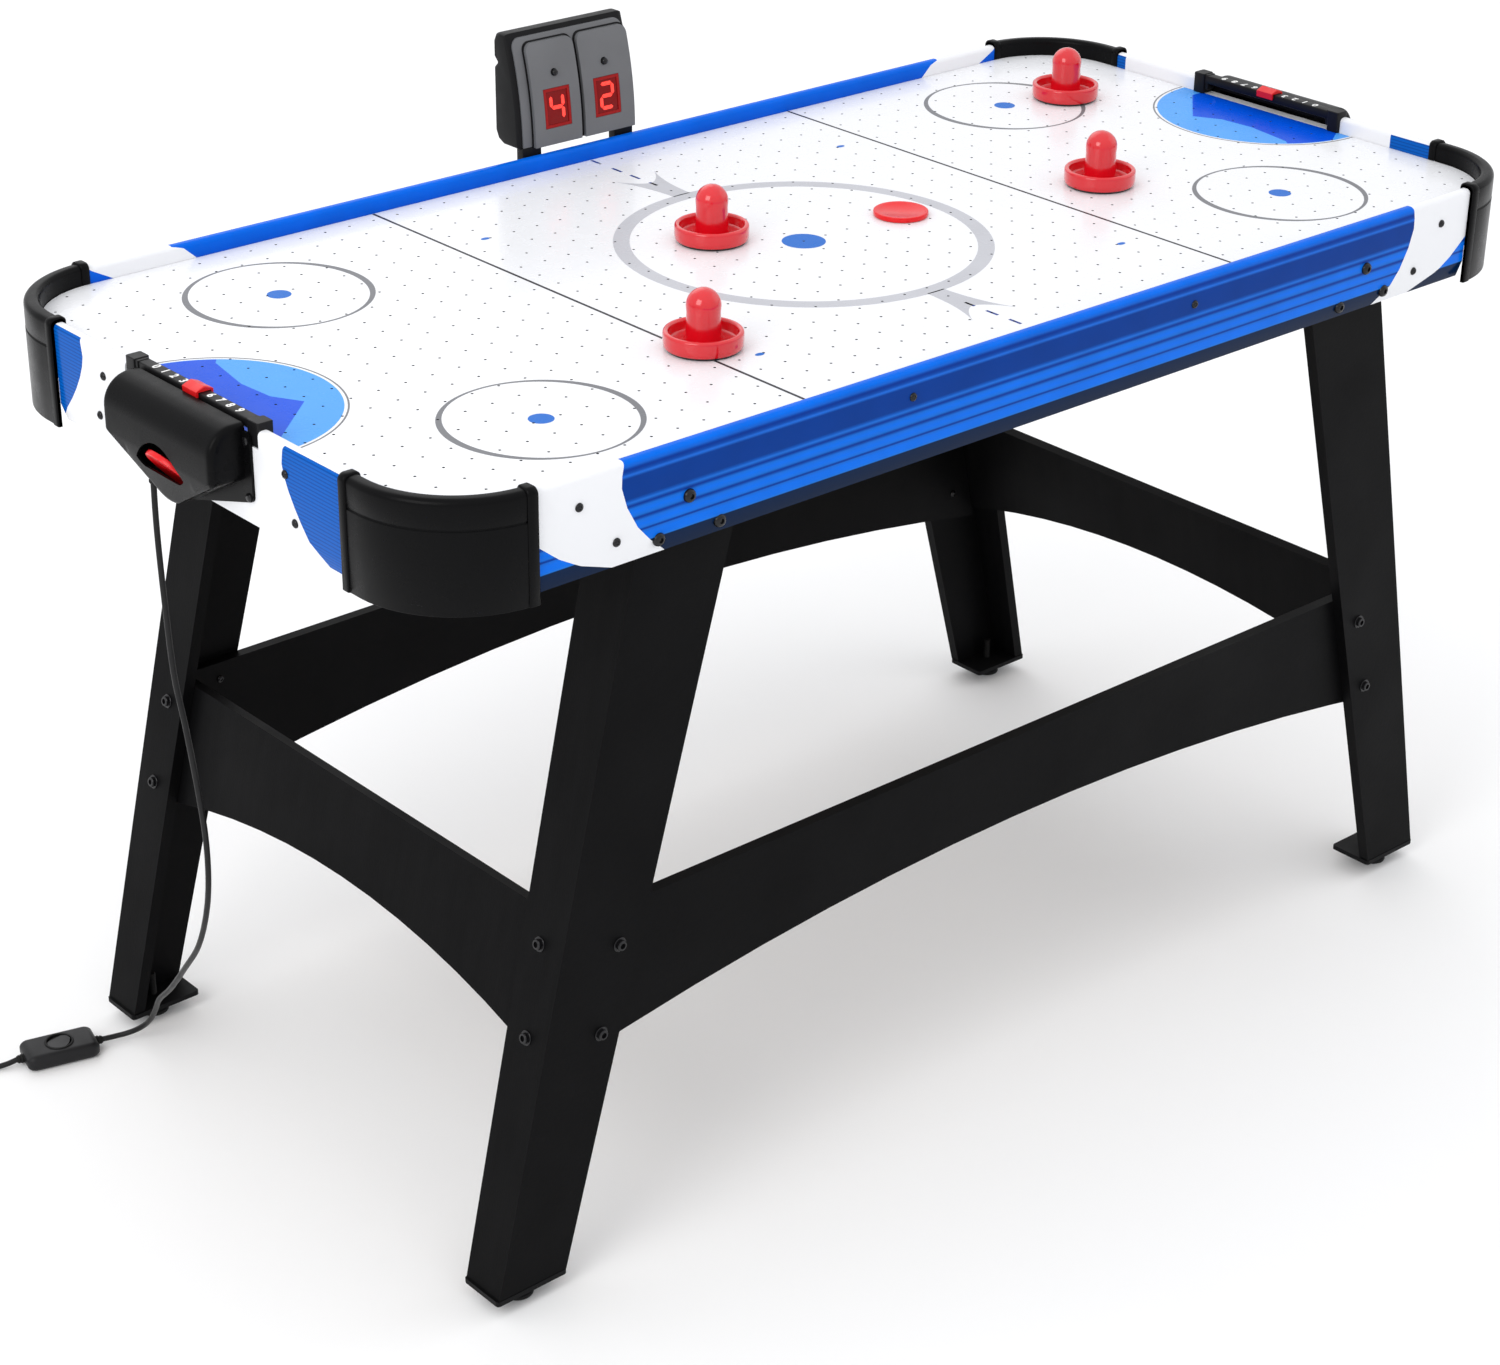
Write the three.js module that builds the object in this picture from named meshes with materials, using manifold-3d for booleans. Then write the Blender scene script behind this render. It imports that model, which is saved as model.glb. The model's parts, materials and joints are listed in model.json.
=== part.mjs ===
// Air hockey table, 1.46 m long: cabinet with rails and corner guards, goals, four splayed legs with
// stretchers, scoreboard, blower, strikers, pucks and a power cord with an in-line switch.
// Millimetres, +Z up, +X along the table. The origin is on the floor, under the centre of the box that
// the table, its puck-return boxes and its scoreboard fill.

import * as THREE from "three";
import { mergeVertices } from "three/addons/utils/BufferGeometryUtils.js";
import Module from "manifold-3d";

// ---- driving dimensions ----

const GAP = 0.3; // clearance between touching pieces

// playing area
const FIELD_TOP = 780; // playing surface above the floor
const FIELD_THICK = 4;
const FIELD_X = 683; // half length between the end rails
const FIELD_Y = 331; // half width between the side rails

// rails
const RAIL_THICK = 12;
const RAIL_TOP = 796;
const RAIL_BOTTOM = 703.5;
const RAIL_BEVEL_Z = 721; // the outer face leans in below this height
const RAIL_BEVEL_IN = 6;
const RAIL_EDGE_R = 4.5; // rounding of the top edges
const END_X = FIELD_X + RAIL_THICK; // outer face of an end rail
const SIDE_Y = FIELD_Y + RAIL_THICK; // outer face of a side rail

// corner guards
const CORNER_R = 88; // radius of the playing area's corner
const GUARD_OUT = 3; // how far a guard stands proud of the rails
const GUARD_WALL = 3;
const GUARD_TOP = 799;
const GUARD_BOTTOM = 698;
const GUARD_GROOVE_Z = 772.5;
const GUARD_TAIL = 21; // straight stretch beside the end rail
const COLLAR_WIDE = 9;
const COLLAR_PROUD = 1.5;
const ARC_X = FIELD_X - CORNER_R; // centre of the corner's arc
const ARC_Y = FIELD_Y - CORNER_R;

// goals and puck-return boxes
const GOAL_HALF = 88; // half width of the goal mouth
const GOAL_POST = 14.5;
const GOAL_BAR_BOTTOM = 792;
const GOAL_BAR_TOP = 801;
const GOAL_BAR_IN = 679; // x of the bar's inner face
const SLIDER_HALF = 11;
const BOX_DEPTH = 36; // how far a puck-return box stands out
const BOX_HALF = 84;
const BOX_TOP = 798;
const BOX_CHIN = 706; // lowest point, in the middle
const BOX_END_Z = 748; // bottom at its two ends
const BOX_WALL = 2.5;
const HAND_R = 36; // arch of the hand opening
const FLANGE_THICK = 2.5;
const FLANGE_HALF = 94;

// legs: an L of board whose corner edge leans outwards along X
const BOARD = 12; // thickness of leg and stretcher boards
const LEG_TOP = 762;
const LEG_BOTTOM = 20.3;
const LEG_FOOT_X = 643.5; // x of the corner edge at the floor end
const LEG_LEAN = 0.2359; // mm along X for each mm down
const LEG_INNER_FOOT_X = 568; // x of the long board's inner edge at the floor end
const LEG_INNER_LEAN = 0.2817;
const LEG_Y = SIDE_Y - RAIL_THICK - 0.5; // outer face of the long board
const LEG_SIDE_FOOT = 49; // width of the end board at the floor end
const LEG_SIDE_TOP = 64.5; // and at the top

// end caps and levelling feet
const CAP_BOTTOM = 15;
const CAP_TOP = 20;
const FOOT_R = 15;
const STEM_R = 4;
const FOOT_X = 606;
const FOOT_Y = 307;

// stretchers
const LONG_TOP = 366;
const LONG_MID = 277; // lower edge in the middle of the arch
const LONG_ENDS = 225; // height of the arch's ends
const LONG_ARCH_R = 3080;
const END_TOP = 368;
const END_MID = 281.5;
const END_ARCH_R = 1070;

// air chamber and blower
const PANEL_TOP = 738;
const PANEL_THICK = 3;
const NOTCH_IN_X = 345; // the bottom panel is cut away round each leg
const NOTCH_OUT_X = 486;
const NOTCH_Y = 258;
const BATTEN_X = 240;
const BATTEN_THICK = 15;
const FAN_X = -90;
const FAN_R = 52;
const FAN_DEEP = 30;
const INTAKE_R = 34;

// scoreboard
const SCORE_X = -5; // the scoreboard stands a little left of the middle
const SCORE_HALF = 76.5;
const SCORE_FACE = 344; // y of the face at its lower end
const SCORE_LEAN = 20; // how far the curved face falls back at the top
const SCORE_BACK = 386;
const SCORE_BOTTOM = 802;
const SCORE_TOP = 919;
const SCORE_WALL = 3;
const FACE_HALF = 71;
const FACE_THICK = 3.5;
const LED_X = { left: -33.5, right: 32 };
const LED_BOTTOM = 820.5;
const LED_TOP = 860.5;
const LED_HALF = 16.5;
const BUTTON_Z = 876;
const BUTTON_R = 3.4;
const POST_WIDE = 24; // posts that hold the scoreboard behind the rail

// strikers and pucks
const STRIKER_R = 36.5;
const STRIKER_TALL = 56;
const KNOB_R = 16;
const FELT_THICK = 1.8;
const PUCK_R = 27.5;
const PUCK_THICK = 5;
const STRIKERS = {
  striker_1: [-67, 59],
  striker_2: [-262, -157],
  striker_3: [353, -60],
  striker_4: [548, 175],
};
const PUCK_AT = [128, -2];
const SPARE_PUCK_AT = [-715.9, 0, 732.9]; // propped in the left box, poking out of its hand opening
const SPARE_PUCK_LEAN = 50; // degrees from lying flat, its outer edge up

// power cord
const CORD_R = 2.75;
const CORD_SIDES = 8;
const RELIEF_AT = [-706, 51]; // the strain relief, in the floor of the left puck-return box
const RELIEF_TOP = 732;
const RELIEF_LONG = 29;
const RELIEF_R = 5;
const SWITCH_AT = [-724, 293.5];
const SWITCH_TURN = 165; // degrees, heading of the switch's outgoing end
const SWITCH_LONG = 74;
const SWITCH_WIDE = 42;
const SWITCH_TALL = 17;
const SLEEVE_LONG = 7; // tapered sleeve at each end of the switch
const SLEEVE_Z = 7.5; // height of the cord where it enters the switch
const ROCKER_R = 11.6;
const ROCKER_TILT = 7;
const COIL_AT = [-838, 392];
const COIL_R = 29.8; // to the middle of the coiled turns
const COIL_HALF = 8.6; // half width of the bundle of turns
const COIL_TALL = 10.8;
const PLUG_AT = [-876.8, 359.5]; // back face of the plug-in adaptor, which lies beside the coil

// The scoreboard stands out behind the table and the collars in front, so the whole table is moved
// along Y until the box round them is centred on the origin.
const CENTRE_Y = (SCORE_BACK - (SIDE_Y + GUARD_OUT + COLLAR_PROUD)) / 2;

// ---- helpers ----

const wasm = await Module();
wasm.setup();

function toSolid(geometry) {
  const bare = geometry.index ? geometry.toNonIndexed() : geometry.clone();
  bare.deleteAttribute("normal");
  bare.deleteAttribute("uv");
  const merged = mergeVertices(bare, 1e-3);
  return new wasm.Manifold(
    new wasm.Mesh({
      numProp: 3,
      vertProperties: merged.attributes.position.array,
      triVerts: new Uint32Array(merged.index.array),
    }),
  );
}

function toGeometry(solid) {
  const m = solid.getMesh();
  const geometry = new THREE.BufferGeometry();
  geometry.setAttribute("position", new THREE.BufferAttribute(new Float32Array(m.vertProperties), 3));
  geometry.setIndex(new THREE.BufferAttribute(new Uint32Array(m.triVerts), 1));
  const flat = geometry.toNonIndexed();
  flat.computeVertexNormals();
  return flat;
}

const join = (...list) => toGeometry(list.map(toSolid).reduce((a, b) => a.add(b)));
const cut = (body, ...tools) => {
  const left = tools.map(toSolid).reduce((a, b) => a.subtract(b), toSolid(body));
  return toGeometry(left);
};
const meet = (a, b) => toGeometry(toSolid(a).intersect(toSolid(b)));

const polygon = (points) => new THREE.Shape(points.map(([u, v]) => new THREE.Vector2(u, v)));
const rect = (u0, v0, u1, v1) => polygon([[u0, v0], [u1, v0], [u1, v1], [u0, v1]]);

// A closed outline from straight points and arcs: an entry is [u, v] or
// { c: [u, v], r, from, to } in degrees; steps is the number of chords of each arc.
function outline(entries, steps = 4) {
  const points = [];
  for (const e of entries) {
    if (Array.isArray(e)) {
      points.push(e);
      continue;
    }
    for (let i = 0; i <= steps; i++) {
      const a = THREE.MathUtils.degToRad(e.from + ((e.to - e.from) * i) / steps);
      points.push([e.c[0] + e.r * Math.cos(a), e.c[1] + e.r * Math.sin(a)]);
    }
  }
  return polygon(points);
}

// A rectangle with rounded corners.
const roundRect = (u0, v0, u1, v1, r, steps = 4) =>
  outline(
    [
      { c: [u1 - r, v0 + r], r, from: -90, to: 0 },
      { c: [u1 - r, v1 - r], r, from: 0, to: 90 },
      { c: [u0 + r, v1 - r], r, from: 90, to: 180 },
      { c: [u0 + r, v0 + r], r, from: 180, to: 270 },
    ],
    steps,
  );

function circle(u, v, r, sides) {
  const points = [];
  for (let i = 0; i < sides; i++) {
    const a = (2 * Math.PI * i) / sides;
    points.push([u + r * Math.cos(a), v + r * Math.sin(a)]);
  }
  return polygon(points);
}

const V = (x, y, z) => new THREE.Vector3(x, y, z);
const AXES = {
  x: new THREE.Matrix4().makeBasis(V(0, 1, 0), V(0, 0, 1), V(1, 0, 0)),
  y: new THREE.Matrix4().makeBasis(V(1, 0, 0), V(0, 0, 1), V(0, -1, 0)),
  z: new THREE.Matrix4(),
};

// A prism of an outline: along z the outline is in (x, y), along x in (y, z), along y in (x, z).
function prism(shape, axis, from, to) {
  const depth = to - from;
  const g = new THREE.ExtrudeGeometry(shape, { depth, bevelEnabled: false, curveSegments: 8 });
  g.applyMatrix4(AXES[axis]);
  const offset = axis === "y" ? to : from;
  return g.translate(axis === "x" ? offset : 0, axis === "y" ? offset : 0, axis === "z" ? offset : 0);
}

// A solid of revolution about a vertical axis, from a profile of [radius, height] points.
function turned(profile, sides) {
  const g = new THREE.LatheGeometry(profile.map(([r, z]) => new THREE.Vector2(r, z)), sides);
  g.rotateX(Math.PI / 2);
  return g;
}

const table = new THREE.Group();
table.position.y = -CENTRE_Y;

function add(name, geometry, material, place = {}) {
  const mesh = new THREE.Mesh(geometry, material);
  mesh.name = name;
  mesh.position.set(...(place.at ?? [0, 0, 0]));
  mesh.scale.set(...(place.mirror ?? [1, 1]), 1);
  mesh.rotation.z = THREE.MathUtils.degToRad(place.turn ?? 0);
  table.add(mesh);
}

const paint = (color, roughness, metalness = 0) => {
  return new THREE.MeshStandardMaterial({ color, roughness, metalness });
};
const SIDES = { left: -1, right: 1 };
const DEPTHS = { front: -1, rear: 1 };

// ---- cabinet ----

// Cross-section of a rail: u runs outwards from the inner face, v is height.
function railSection() {
  const r = RAIL_EDGE_R;
  return outline(
    [
      [0, RAIL_BOTTOM],
      [RAIL_THICK - RAIL_BEVEL_IN, RAIL_BOTTOM],
      [RAIL_THICK, RAIL_BEVEL_Z],
      { c: [RAIL_THICK - r, RAIL_TOP - r], r, from: 0, to: 90 },
      { c: [r, RAIL_TOP - r], r, from: 90, to: 180 },
    ],
    3,
  );
}

function buildPlayfield() {
  const x = FIELD_X - GAP;
  const y = FIELD_Y - GAP;
  const board = roundRect(-x, -y, x, y, CORNER_R - GAP, 10);
  add("playfield", prism(board, "z", FIELD_TOP - FIELD_THICK, FIELD_TOP), paint(0xf4f5f8, 0.25));
}

function buildSideRails() {
  const half = ARC_X - 1 - GAP;
  const rail = prism(railSection(), "x", -half, half).translate(0, FIELD_Y, 0);
  for (const [depth, s] of Object.entries(DEPTHS)) {
    add(`side_rail_${depth}`, rail, paint(0x0a57d6, 0.3), { mirror: [1, s] });
  }
}

function buildEndRails() {
  const half = ARC_Y - GUARD_TAIL - GAP;
  const section = railSection();
  const rail = prism(section, "y", -half, half).translate(FIELD_X, 0, 0);
  const mouth = GOAL_HALF + GOAL_POST + GAP;
  const notch = prism(rect(-mouth, FIELD_TOP, mouth, RAIL_TOP + 1), "x", FIELD_X - 1, END_X + 1);
  for (const [side, s] of Object.entries(SIDES)) {
    add(`end_rail_${side}`, cut(rail, notch), paint(0xf4f5f8, 0.3), { mirror: [s, 1] });
  }
}

// Cross-section of a corner guard, an inverted channel that covers the end of the rails; u is the distance
// from the corner's arc centre. proud makes the thicker section of the collars.
function guardSection(proud) {
  const inner = CORNER_R - proud;
  const outer = CORNER_R + RAIL_THICK + GUARD_OUT + proud;
  const top = GUARD_TOP + proud;
  const wall = GUARD_WALL;
  const r = 5;
  const edge = [
    [CORNER_R + RAIL_THICK, GUARD_BOTTOM],
    [outer, GUARD_BOTTOM],
  ];
  const groove = proud
    ? []
    : [
        [outer, GUARD_GROOVE_Z - 1],
        [outer - 1, GUARD_GROOVE_Z],
        [outer, GUARD_GROOVE_Z + 1],
      ];
  return outline(
    [
      ...edge,
      ...groove,
      { c: [outer - r, top - r], r, from: 0, to: 90 },
      { c: [inner + r, top - r], r, from: 90, to: 180 },
      [inner, FIELD_TOP + GAP],
      [CORNER_R + wall, FIELD_TOP + GAP],
      [CORNER_R + wall, GUARD_TOP - wall - 3],
      [CORNER_R + wall + 3, GUARD_TOP - wall],
      [CORNER_R + RAIL_THICK - 3, GUARD_TOP - wall],
      [CORNER_R + RAIL_THICK, GUARD_TOP - wall - 3],
    ],
    3,
  );
}

function guard() {
  const section = guardSection(0);
  const profile = section.getPoints().map((p) => [p.x, p.y]);
  profile.push(profile[0]);
  const ring = turned(profile, 48);
  const quarter = prism(rect(0, 0, 2 * CORNER_R, 2 * CORNER_R), "z", 0, GUARD_TOP + 10);
  const arc = meet(ring, quarter);
  const collar = guardSection(COLLAR_PROUD);
  const endTail = prism(section, "y", -GUARD_TAIL, 0.01);
  const endCollar = prism(collar, "y", -GUARD_TAIL, COLLAR_WIDE - GUARD_TAIL);
  const sideTail = prism(section, "x", -1, 0.01);
  const sideCollar = prism(collar, "x", -1, COLLAR_WIDE - 1);
  return join(arc, endTail, endCollar, sideTail, sideCollar);
}

function buildGuards() {
  const g = guard().translate(ARC_X, ARC_Y, 0);
  for (const [depth, sy] of Object.entries(DEPTHS)) {
    for (const [side, sx] of Object.entries(SIDES)) {
      add(`corner_guard_${depth}_${side}`, g, paint(0x1b1c1e, 0.45), { mirror: [sx, sy] });
    }
  }
}

// The air chamber's bottom, cut away round the legs and over the fan.
function buildBottomPanel() {
  const x = FIELD_X - GAP;
  const y = FIELD_Y - GAP;
  const z0 = PANEL_TOP - PANEL_THICK;
  const panel = prism(roundRect(-x, -y, x, y, CORNER_R - GAP, 8), "z", z0, PANEL_TOP);
  const cuts = [prism(circle(FAN_X, 0, FAN_R - 8, 24), "z", z0 - 1, PANEL_TOP + 1)];
  for (const sx of [-1, 1]) {
    for (const sy of [-1, 1]) {
      const notch = rect(sx * NOTCH_IN_X, sy * NOTCH_Y, sx * NOTCH_OUT_X, sy * (y + 1));
      cuts.push(prism(notch, "z", z0 - 1, PANEL_TOP + 1));
    }
  }
  add("bottom_panel", cut(panel, ...cuts), paint(0x8a6f50, 0.85));
}

function buildBattens() {
  const batten = prism(
    rect(-BATTEN_THICK / 2, -NOTCH_Y, BATTEN_THICK / 2, NOTCH_Y),
    "z",
    PANEL_TOP + GAP,
    FIELD_TOP - FIELD_THICK - GAP,
  );
  for (const [side, s] of Object.entries(SIDES)) {
    add(`cross_batten_${side}`, batten, paint(0xa98a63, 0.8), { at: [s * BATTEN_X, 0, 0] });
  }
}

// ---- goals ----

// Inverted U over the goal mouth, with the score scale on its top.
function goalFrame() {
  const out = GOAL_HALF + GOAL_POST;
  const arch = polygon([
    [-out, FIELD_TOP + GAP],
    [-GOAL_HALF, FIELD_TOP + GAP],
    [-GOAL_HALF, GOAL_BAR_BOTTOM],
    [GOAL_HALF, GOAL_BAR_BOTTOM],
    [GOAL_HALF, FIELD_TOP + GAP],
    [out, FIELD_TOP + GAP],
    [out, GOAL_BAR_TOP - 2],
    [out - 2, GOAL_BAR_TOP],
    [2 - out, GOAL_BAR_TOP],
    [-out, GOAL_BAR_TOP - 2],
  ]);
  return prism(arch, "x", GOAL_BAR_IN, END_X - 2);
}

// Saddle that rides on the bar, with a low ridge as a pointer.
function scoreSlider() {
  const x0 = GOAL_BAR_IN - 2.5;
  const x1 = END_X - 2 + 2.5;
  const z = GOAL_BAR_TOP + GAP;
  const saddle = polygon([
    [x0, z - 6],
    [GOAL_BAR_IN - GAP, z - 6],
    [GOAL_BAR_IN - GAP, z],
    [END_X - 2 + GAP, z],
    [END_X - 2 + GAP, z - 2],
    [x1, z - 2],
    [x1, z + 2],
    [(x0 + x1) / 2, z + 4.5],
    [x0, z + 2],
  ]);
  return prism(saddle, "y", -SLIDER_HALF, SLIDER_HALF);
}

// Section of a puck-return box across the table: a quarter round on top, leaning in below.
function boxSection(inset) {
  const x0 = END_X + GAP;
  const x1 = END_X + BOX_DEPTH - inset;
  const top = BOX_TOP - inset;
  const r = 26 - inset;
  return outline(
    [
      [x0 - (inset ? 5 : 0), BOX_CHIN - 10],
      [x1 - 12, BOX_CHIN - 10],
      [x1 - 3, BOX_END_Z - 4],
      { c: [x1 - r, top - r], r, from: 0, to: 90 },
      [x0 - (inset ? 5 : 0), top],
    ],
    6,
  );
}

// Front outline of a puck-return box: straight sides and a bottom that falls to a rounded chin.
function boxFront(half, chin, end, top) {
  return outline(
    [
      [-half, end],
      [-half * 0.6, chin + (end - chin) * 0.42],
      { c: [0, chin + 40], r: 40, from: 245, to: 295 },
      [half * 0.6, chin + (end - chin) * 0.42],
      [half, end],
      [half, top],
      [-half, top],
    ],
    4,
  );
}

function puckBox() {
  const outer = meet(
    prism(boxSection(0), "y", -BOX_HALF, BOX_HALF),
    prism(boxFront(BOX_HALF, BOX_CHIN, BOX_END_Z, BOX_TOP + 5), "x", END_X, END_X + 60),
  );
  const w = BOX_WALL;
  const inner = meet(
    prism(boxSection(w), "y", -BOX_HALF + w, BOX_HALF - w),
    prism(boxFront(BOX_HALF - w, BOX_CHIN + w, BOX_END_Z + w, BOX_TOP - w), "x", END_X - 5, END_X + 60),
  );
  const flange = prism(
    boxFront(FLANGE_HALF, BOX_CHIN - 2, BOX_END_Z - 16, RAIL_TOP - 4),
    "x",
    END_X + GAP,
    END_X + GAP + FLANGE_THICK,
  );
  // hand opening in the lower front, an arch above the chin
  const sill = 727;
  const crown = { c: [0, sill - 5], r: HAND_R, from: 20, to: 160 };
  const hand = outline([[-HAND_R, sill], [HAND_R, sill], crown], 8);
  const opening = prism(hand, "x", END_X + 12, END_X + 60);
  return cut(join(outer, flange), inner, opening);
}

function buildGoals() {
  const frame = goalFrame();
  const slider = scoreSlider();
  const box = puckBox();
  // the left box holds the cord's strain relief in its floor
  const hole = circle(-RELIEF_AT[0], RELIEF_AT[1], RELIEF_R + GAP, 16);
  const bore = prism(hole, "z", BOX_CHIN, RELIEF_TOP + 5);
  const boxes = { left: cut(box, bore), right: box };
  for (const [side, s] of Object.entries(SIDES)) {
    add(`goal_frame_${side}`, frame, paint(0x151617, 0.5), { mirror: [s, 1] });
    add(`score_slider_${side}`, slider, paint(0xe01b22, 0.35), { mirror: [s, 1] });
    add(`puck_return_box_${side}`, boxes[side], paint(0x1b1c1e, 0.45), { mirror: [s, 1] });
  }
}

// ---- legs, caps and feet ----

const cornerX = (z) => LEG_FOOT_X - LEG_LEAN * (z - LEG_BOTTOM);
const innerX = (z) => LEG_INNER_FOOT_X - LEG_INNER_LEAN * (z - LEG_BOTTOM);
const BOARD_ACROSS = BOARD * Math.hypot(1, LEG_LEAN); // the leaning board's thickness along X

function legGeometry() {
  const long = prism(
    polygon([
      [innerX(LEG_BOTTOM), LEG_BOTTOM],
      [cornerX(LEG_BOTTOM), LEG_BOTTOM],
      [cornerX(LEG_TOP), LEG_TOP],
      [innerX(LEG_TOP), LEG_TOP],
    ]),
    "y",
    LEG_Y - BOARD,
    LEG_Y,
  );
  const band = prism(
    polygon([
      [cornerX(LEG_BOTTOM) - BOARD_ACROSS, LEG_BOTTOM],
      [cornerX(LEG_BOTTOM), LEG_BOTTOM],
      [cornerX(LEG_TOP), LEG_TOP],
      [cornerX(LEG_TOP) - BOARD_ACROSS, LEG_TOP],
    ]),
    "y",
    LEG_Y - LEG_SIDE_TOP,
    LEG_Y,
  );
  const taper = prism(
    polygon([
      [LEG_Y - LEG_SIDE_FOOT, LEG_BOTTOM - 1],
      [LEG_Y + 1, LEG_BOTTOM - 1],
      [LEG_Y + 1, LEG_TOP + 1],
      [LEG_Y - LEG_SIDE_TOP, LEG_TOP + 1],
    ]),
    "x",
    0,
    FIELD_X,
  );
  return join(long, meet(band, taper));
}

function capGeometry() {
  const x0 = innerX(CAP_TOP) - 1;
  const x1 = cornerX(CAP_BOTTOM) + 1;
  const plate = roundRect(x0, LEG_Y - LEG_SIDE_FOOT - 1, x1, LEG_Y + 0.4, 3, 2);
  const hole = circle(FOOT_X, FOOT_Y, STEM_R + 0.5, 16);
  return cut(prism(plate, "z", CAP_BOTTOM, CAP_TOP), prism(hole, "z", CAP_BOTTOM - 5, CAP_TOP + 5));
}

function footGeometry() {
  return turned(
    [
      [0, 0],
      [FOOT_R - 1, 0],
      [FOOT_R, 1.5],
      [FOOT_R - 1, 4],
      [9, 7],
      [7.5, 8],
      [7, 12],
      [STEM_R, 12],
      [STEM_R, 44],
      [0, 44],
    ],
    20,
  );
}

function buildLegs() {
  const leg = legGeometry();
  const cap = capGeometry();
  const foot = footGeometry();
  for (const [depth, sy] of Object.entries(DEPTHS)) {
    for (const [side, sx] of Object.entries(SIDES)) {
      const mirror = [sx, sy];
      add(`leg_${depth}_${side}`, leg, paint(0x1d1d1e, 0.6), { mirror });
      add(`leg_cap_${depth}_${side}`, cap, paint(0x101011, 0.5), { mirror });
      const at = [sx * FOOT_X, sy * FOOT_Y, 0];
      add(`levelling_foot_${depth}_${side}`, foot, paint(0x141414, 0.45), { at });
    }
  }
}

// ---- stretchers ----

// Lower edge of an arch of radius r, from -half to half, with its crown at height crown.
function archPoints(half, r, crown, steps) {
  const points = [];
  for (let i = 0; i <= steps; i++) {
    const u = -half + (2 * half * i) / steps;
    points.push([u, crown - (r - Math.sqrt(r * r - u * u))]);
  }
  return points;
}

function buildLongStretchers() {
  const reach = (z) => cornerX(z) - 2 * BOARD_ACROSS - 5 * GAP;
  const arch = archPoints(reach(LONG_ENDS), LONG_ARCH_R, LONG_MID, 14);
  const shape = polygon([...arch, [reach(LONG_TOP), LONG_TOP], [-reach(LONG_TOP), LONG_TOP]]);
  const y1 = LEG_Y - BOARD - GAP;
  const board = prism(shape, "y", y1 - BOARD, y1);
  for (const [depth, s] of Object.entries(DEPTHS)) {
    add(`long_stretcher_${depth}`, board, paint(0x1d1d1e, 0.6), { mirror: [1, s] });
  }
}

// The end stretchers lean like the legs' end boards, on their inner side.
function buildEndStretchers() {
  const tilt = Math.atan(LEG_LEAN);
  const tall = (END_TOP - END_MID) / Math.cos(tilt);
  const half = LEG_Y - BOARD - GAP;
  const arch = archPoints(half, END_ARCH_R, -tall, 14);
  const shape = polygon([...arch, [half, 0], [-half, 0]]);
  const board = prism(shape, "x", -BOARD, 0);
  board.rotateY(-tilt);
  board.translate(cornerX(END_TOP) - BOARD_ACROSS - 2 * GAP, 0, END_TOP);
  for (const [side, s] of Object.entries(SIDES)) {
    add(`end_stretcher_${side}`, board, paint(0x1d1d1e, 0.6), { mirror: [s, 1] });
  }
}

// ---- blower under the bottom panel ----

function buildBlower() {
  const z1 = PANEL_TOP - PANEL_THICK - GAP;
  const z0 = z1 - FAN_DEEP;
  const square = roundRect(FAN_X - FAN_R, -FAN_R, FAN_X + FAN_R, FAN_R, 8, 3);
  const outer = prism(square, "z", z0, z1);
  const bowl = prism(circle(FAN_X, 0, FAN_R - 4, 24), "z", z0 + 3, z1 + 1);
  const intake = prism(circle(FAN_X, 0, INTAKE_R, 24), "z", z0 - 1, z0 + 4);
  const spider = join(
    prism(rect(FAN_X - INTAKE_R - 3, -3, FAN_X + INTAKE_R + 3, 3), "z", z0, z0 + 3),
    prism(circle(FAN_X, 0, 15, 16), "z", z0, z0 + 3),
  );
  add("fan_housing", join(cut(outer, bowl, intake), spider), paint(0x17181a, 0.5));

  const m0 = z0 + 3 + GAP;
  const motor = turned([[0, m0], [13, m0], [13, m0 + 6], [2, m0 + 6], [2, m0 + 7.5], [0, m0 + 7.5]], 16);
  add("fan_motor", motor, paint(0x55585c, 0.4, 0.6), { at: [FAN_X, 0, 0] });

  const hub = prism(circle(0, 0, 16, 16), "z", z0 + 12, z0 + 24);
  const bladeCount = 7;
  const blades = [];
  for (let i = 0; i < bladeCount; i++) {
    const blade = new THREE.BoxGeometry(30, 2.5, 9);
    blade.rotateX(0.6).translate(28, 0, z0 + 18);
    blades.push(blade.rotateZ((2 * Math.PI * i) / bladeCount));
  }
  add("fan_impeller", join(hub, ...blades), paint(0x202224, 0.4), { at: [FAN_X, 0, 0] });
}

// ---- scoreboard ----

// Edge of the scoreboard's curved face in (y, z), moved back by an offset; over carries it past both ends.
function faceEdge(offset, over = 0) {
  const points = [[SCORE_FACE + offset, SCORE_BOTTOM - over]];
  const steps = 7;
  for (let i = 0; i <= steps; i++) {
    const f = i / steps;
    const z = SCORE_BOTTOM + (SCORE_TOP - SCORE_BOTTOM) * f;
    points.push([SCORE_FACE + SCORE_LEAN * f * f + offset, z]);
  }
  points.push([SCORE_FACE + SCORE_LEAN + offset, SCORE_TOP + over]);
  return over ? points : points.slice(1, -1);
}

// A sheet that follows the face, between two offsets.
function faceSheet(front, back, half, over = 0) {
  const shape = polygon([...faceEdge(front, over).reverse(), ...faceEdge(back, over)]);
  return prism(shape, "x", SCORE_X - half, SCORE_X + half);
}

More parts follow.
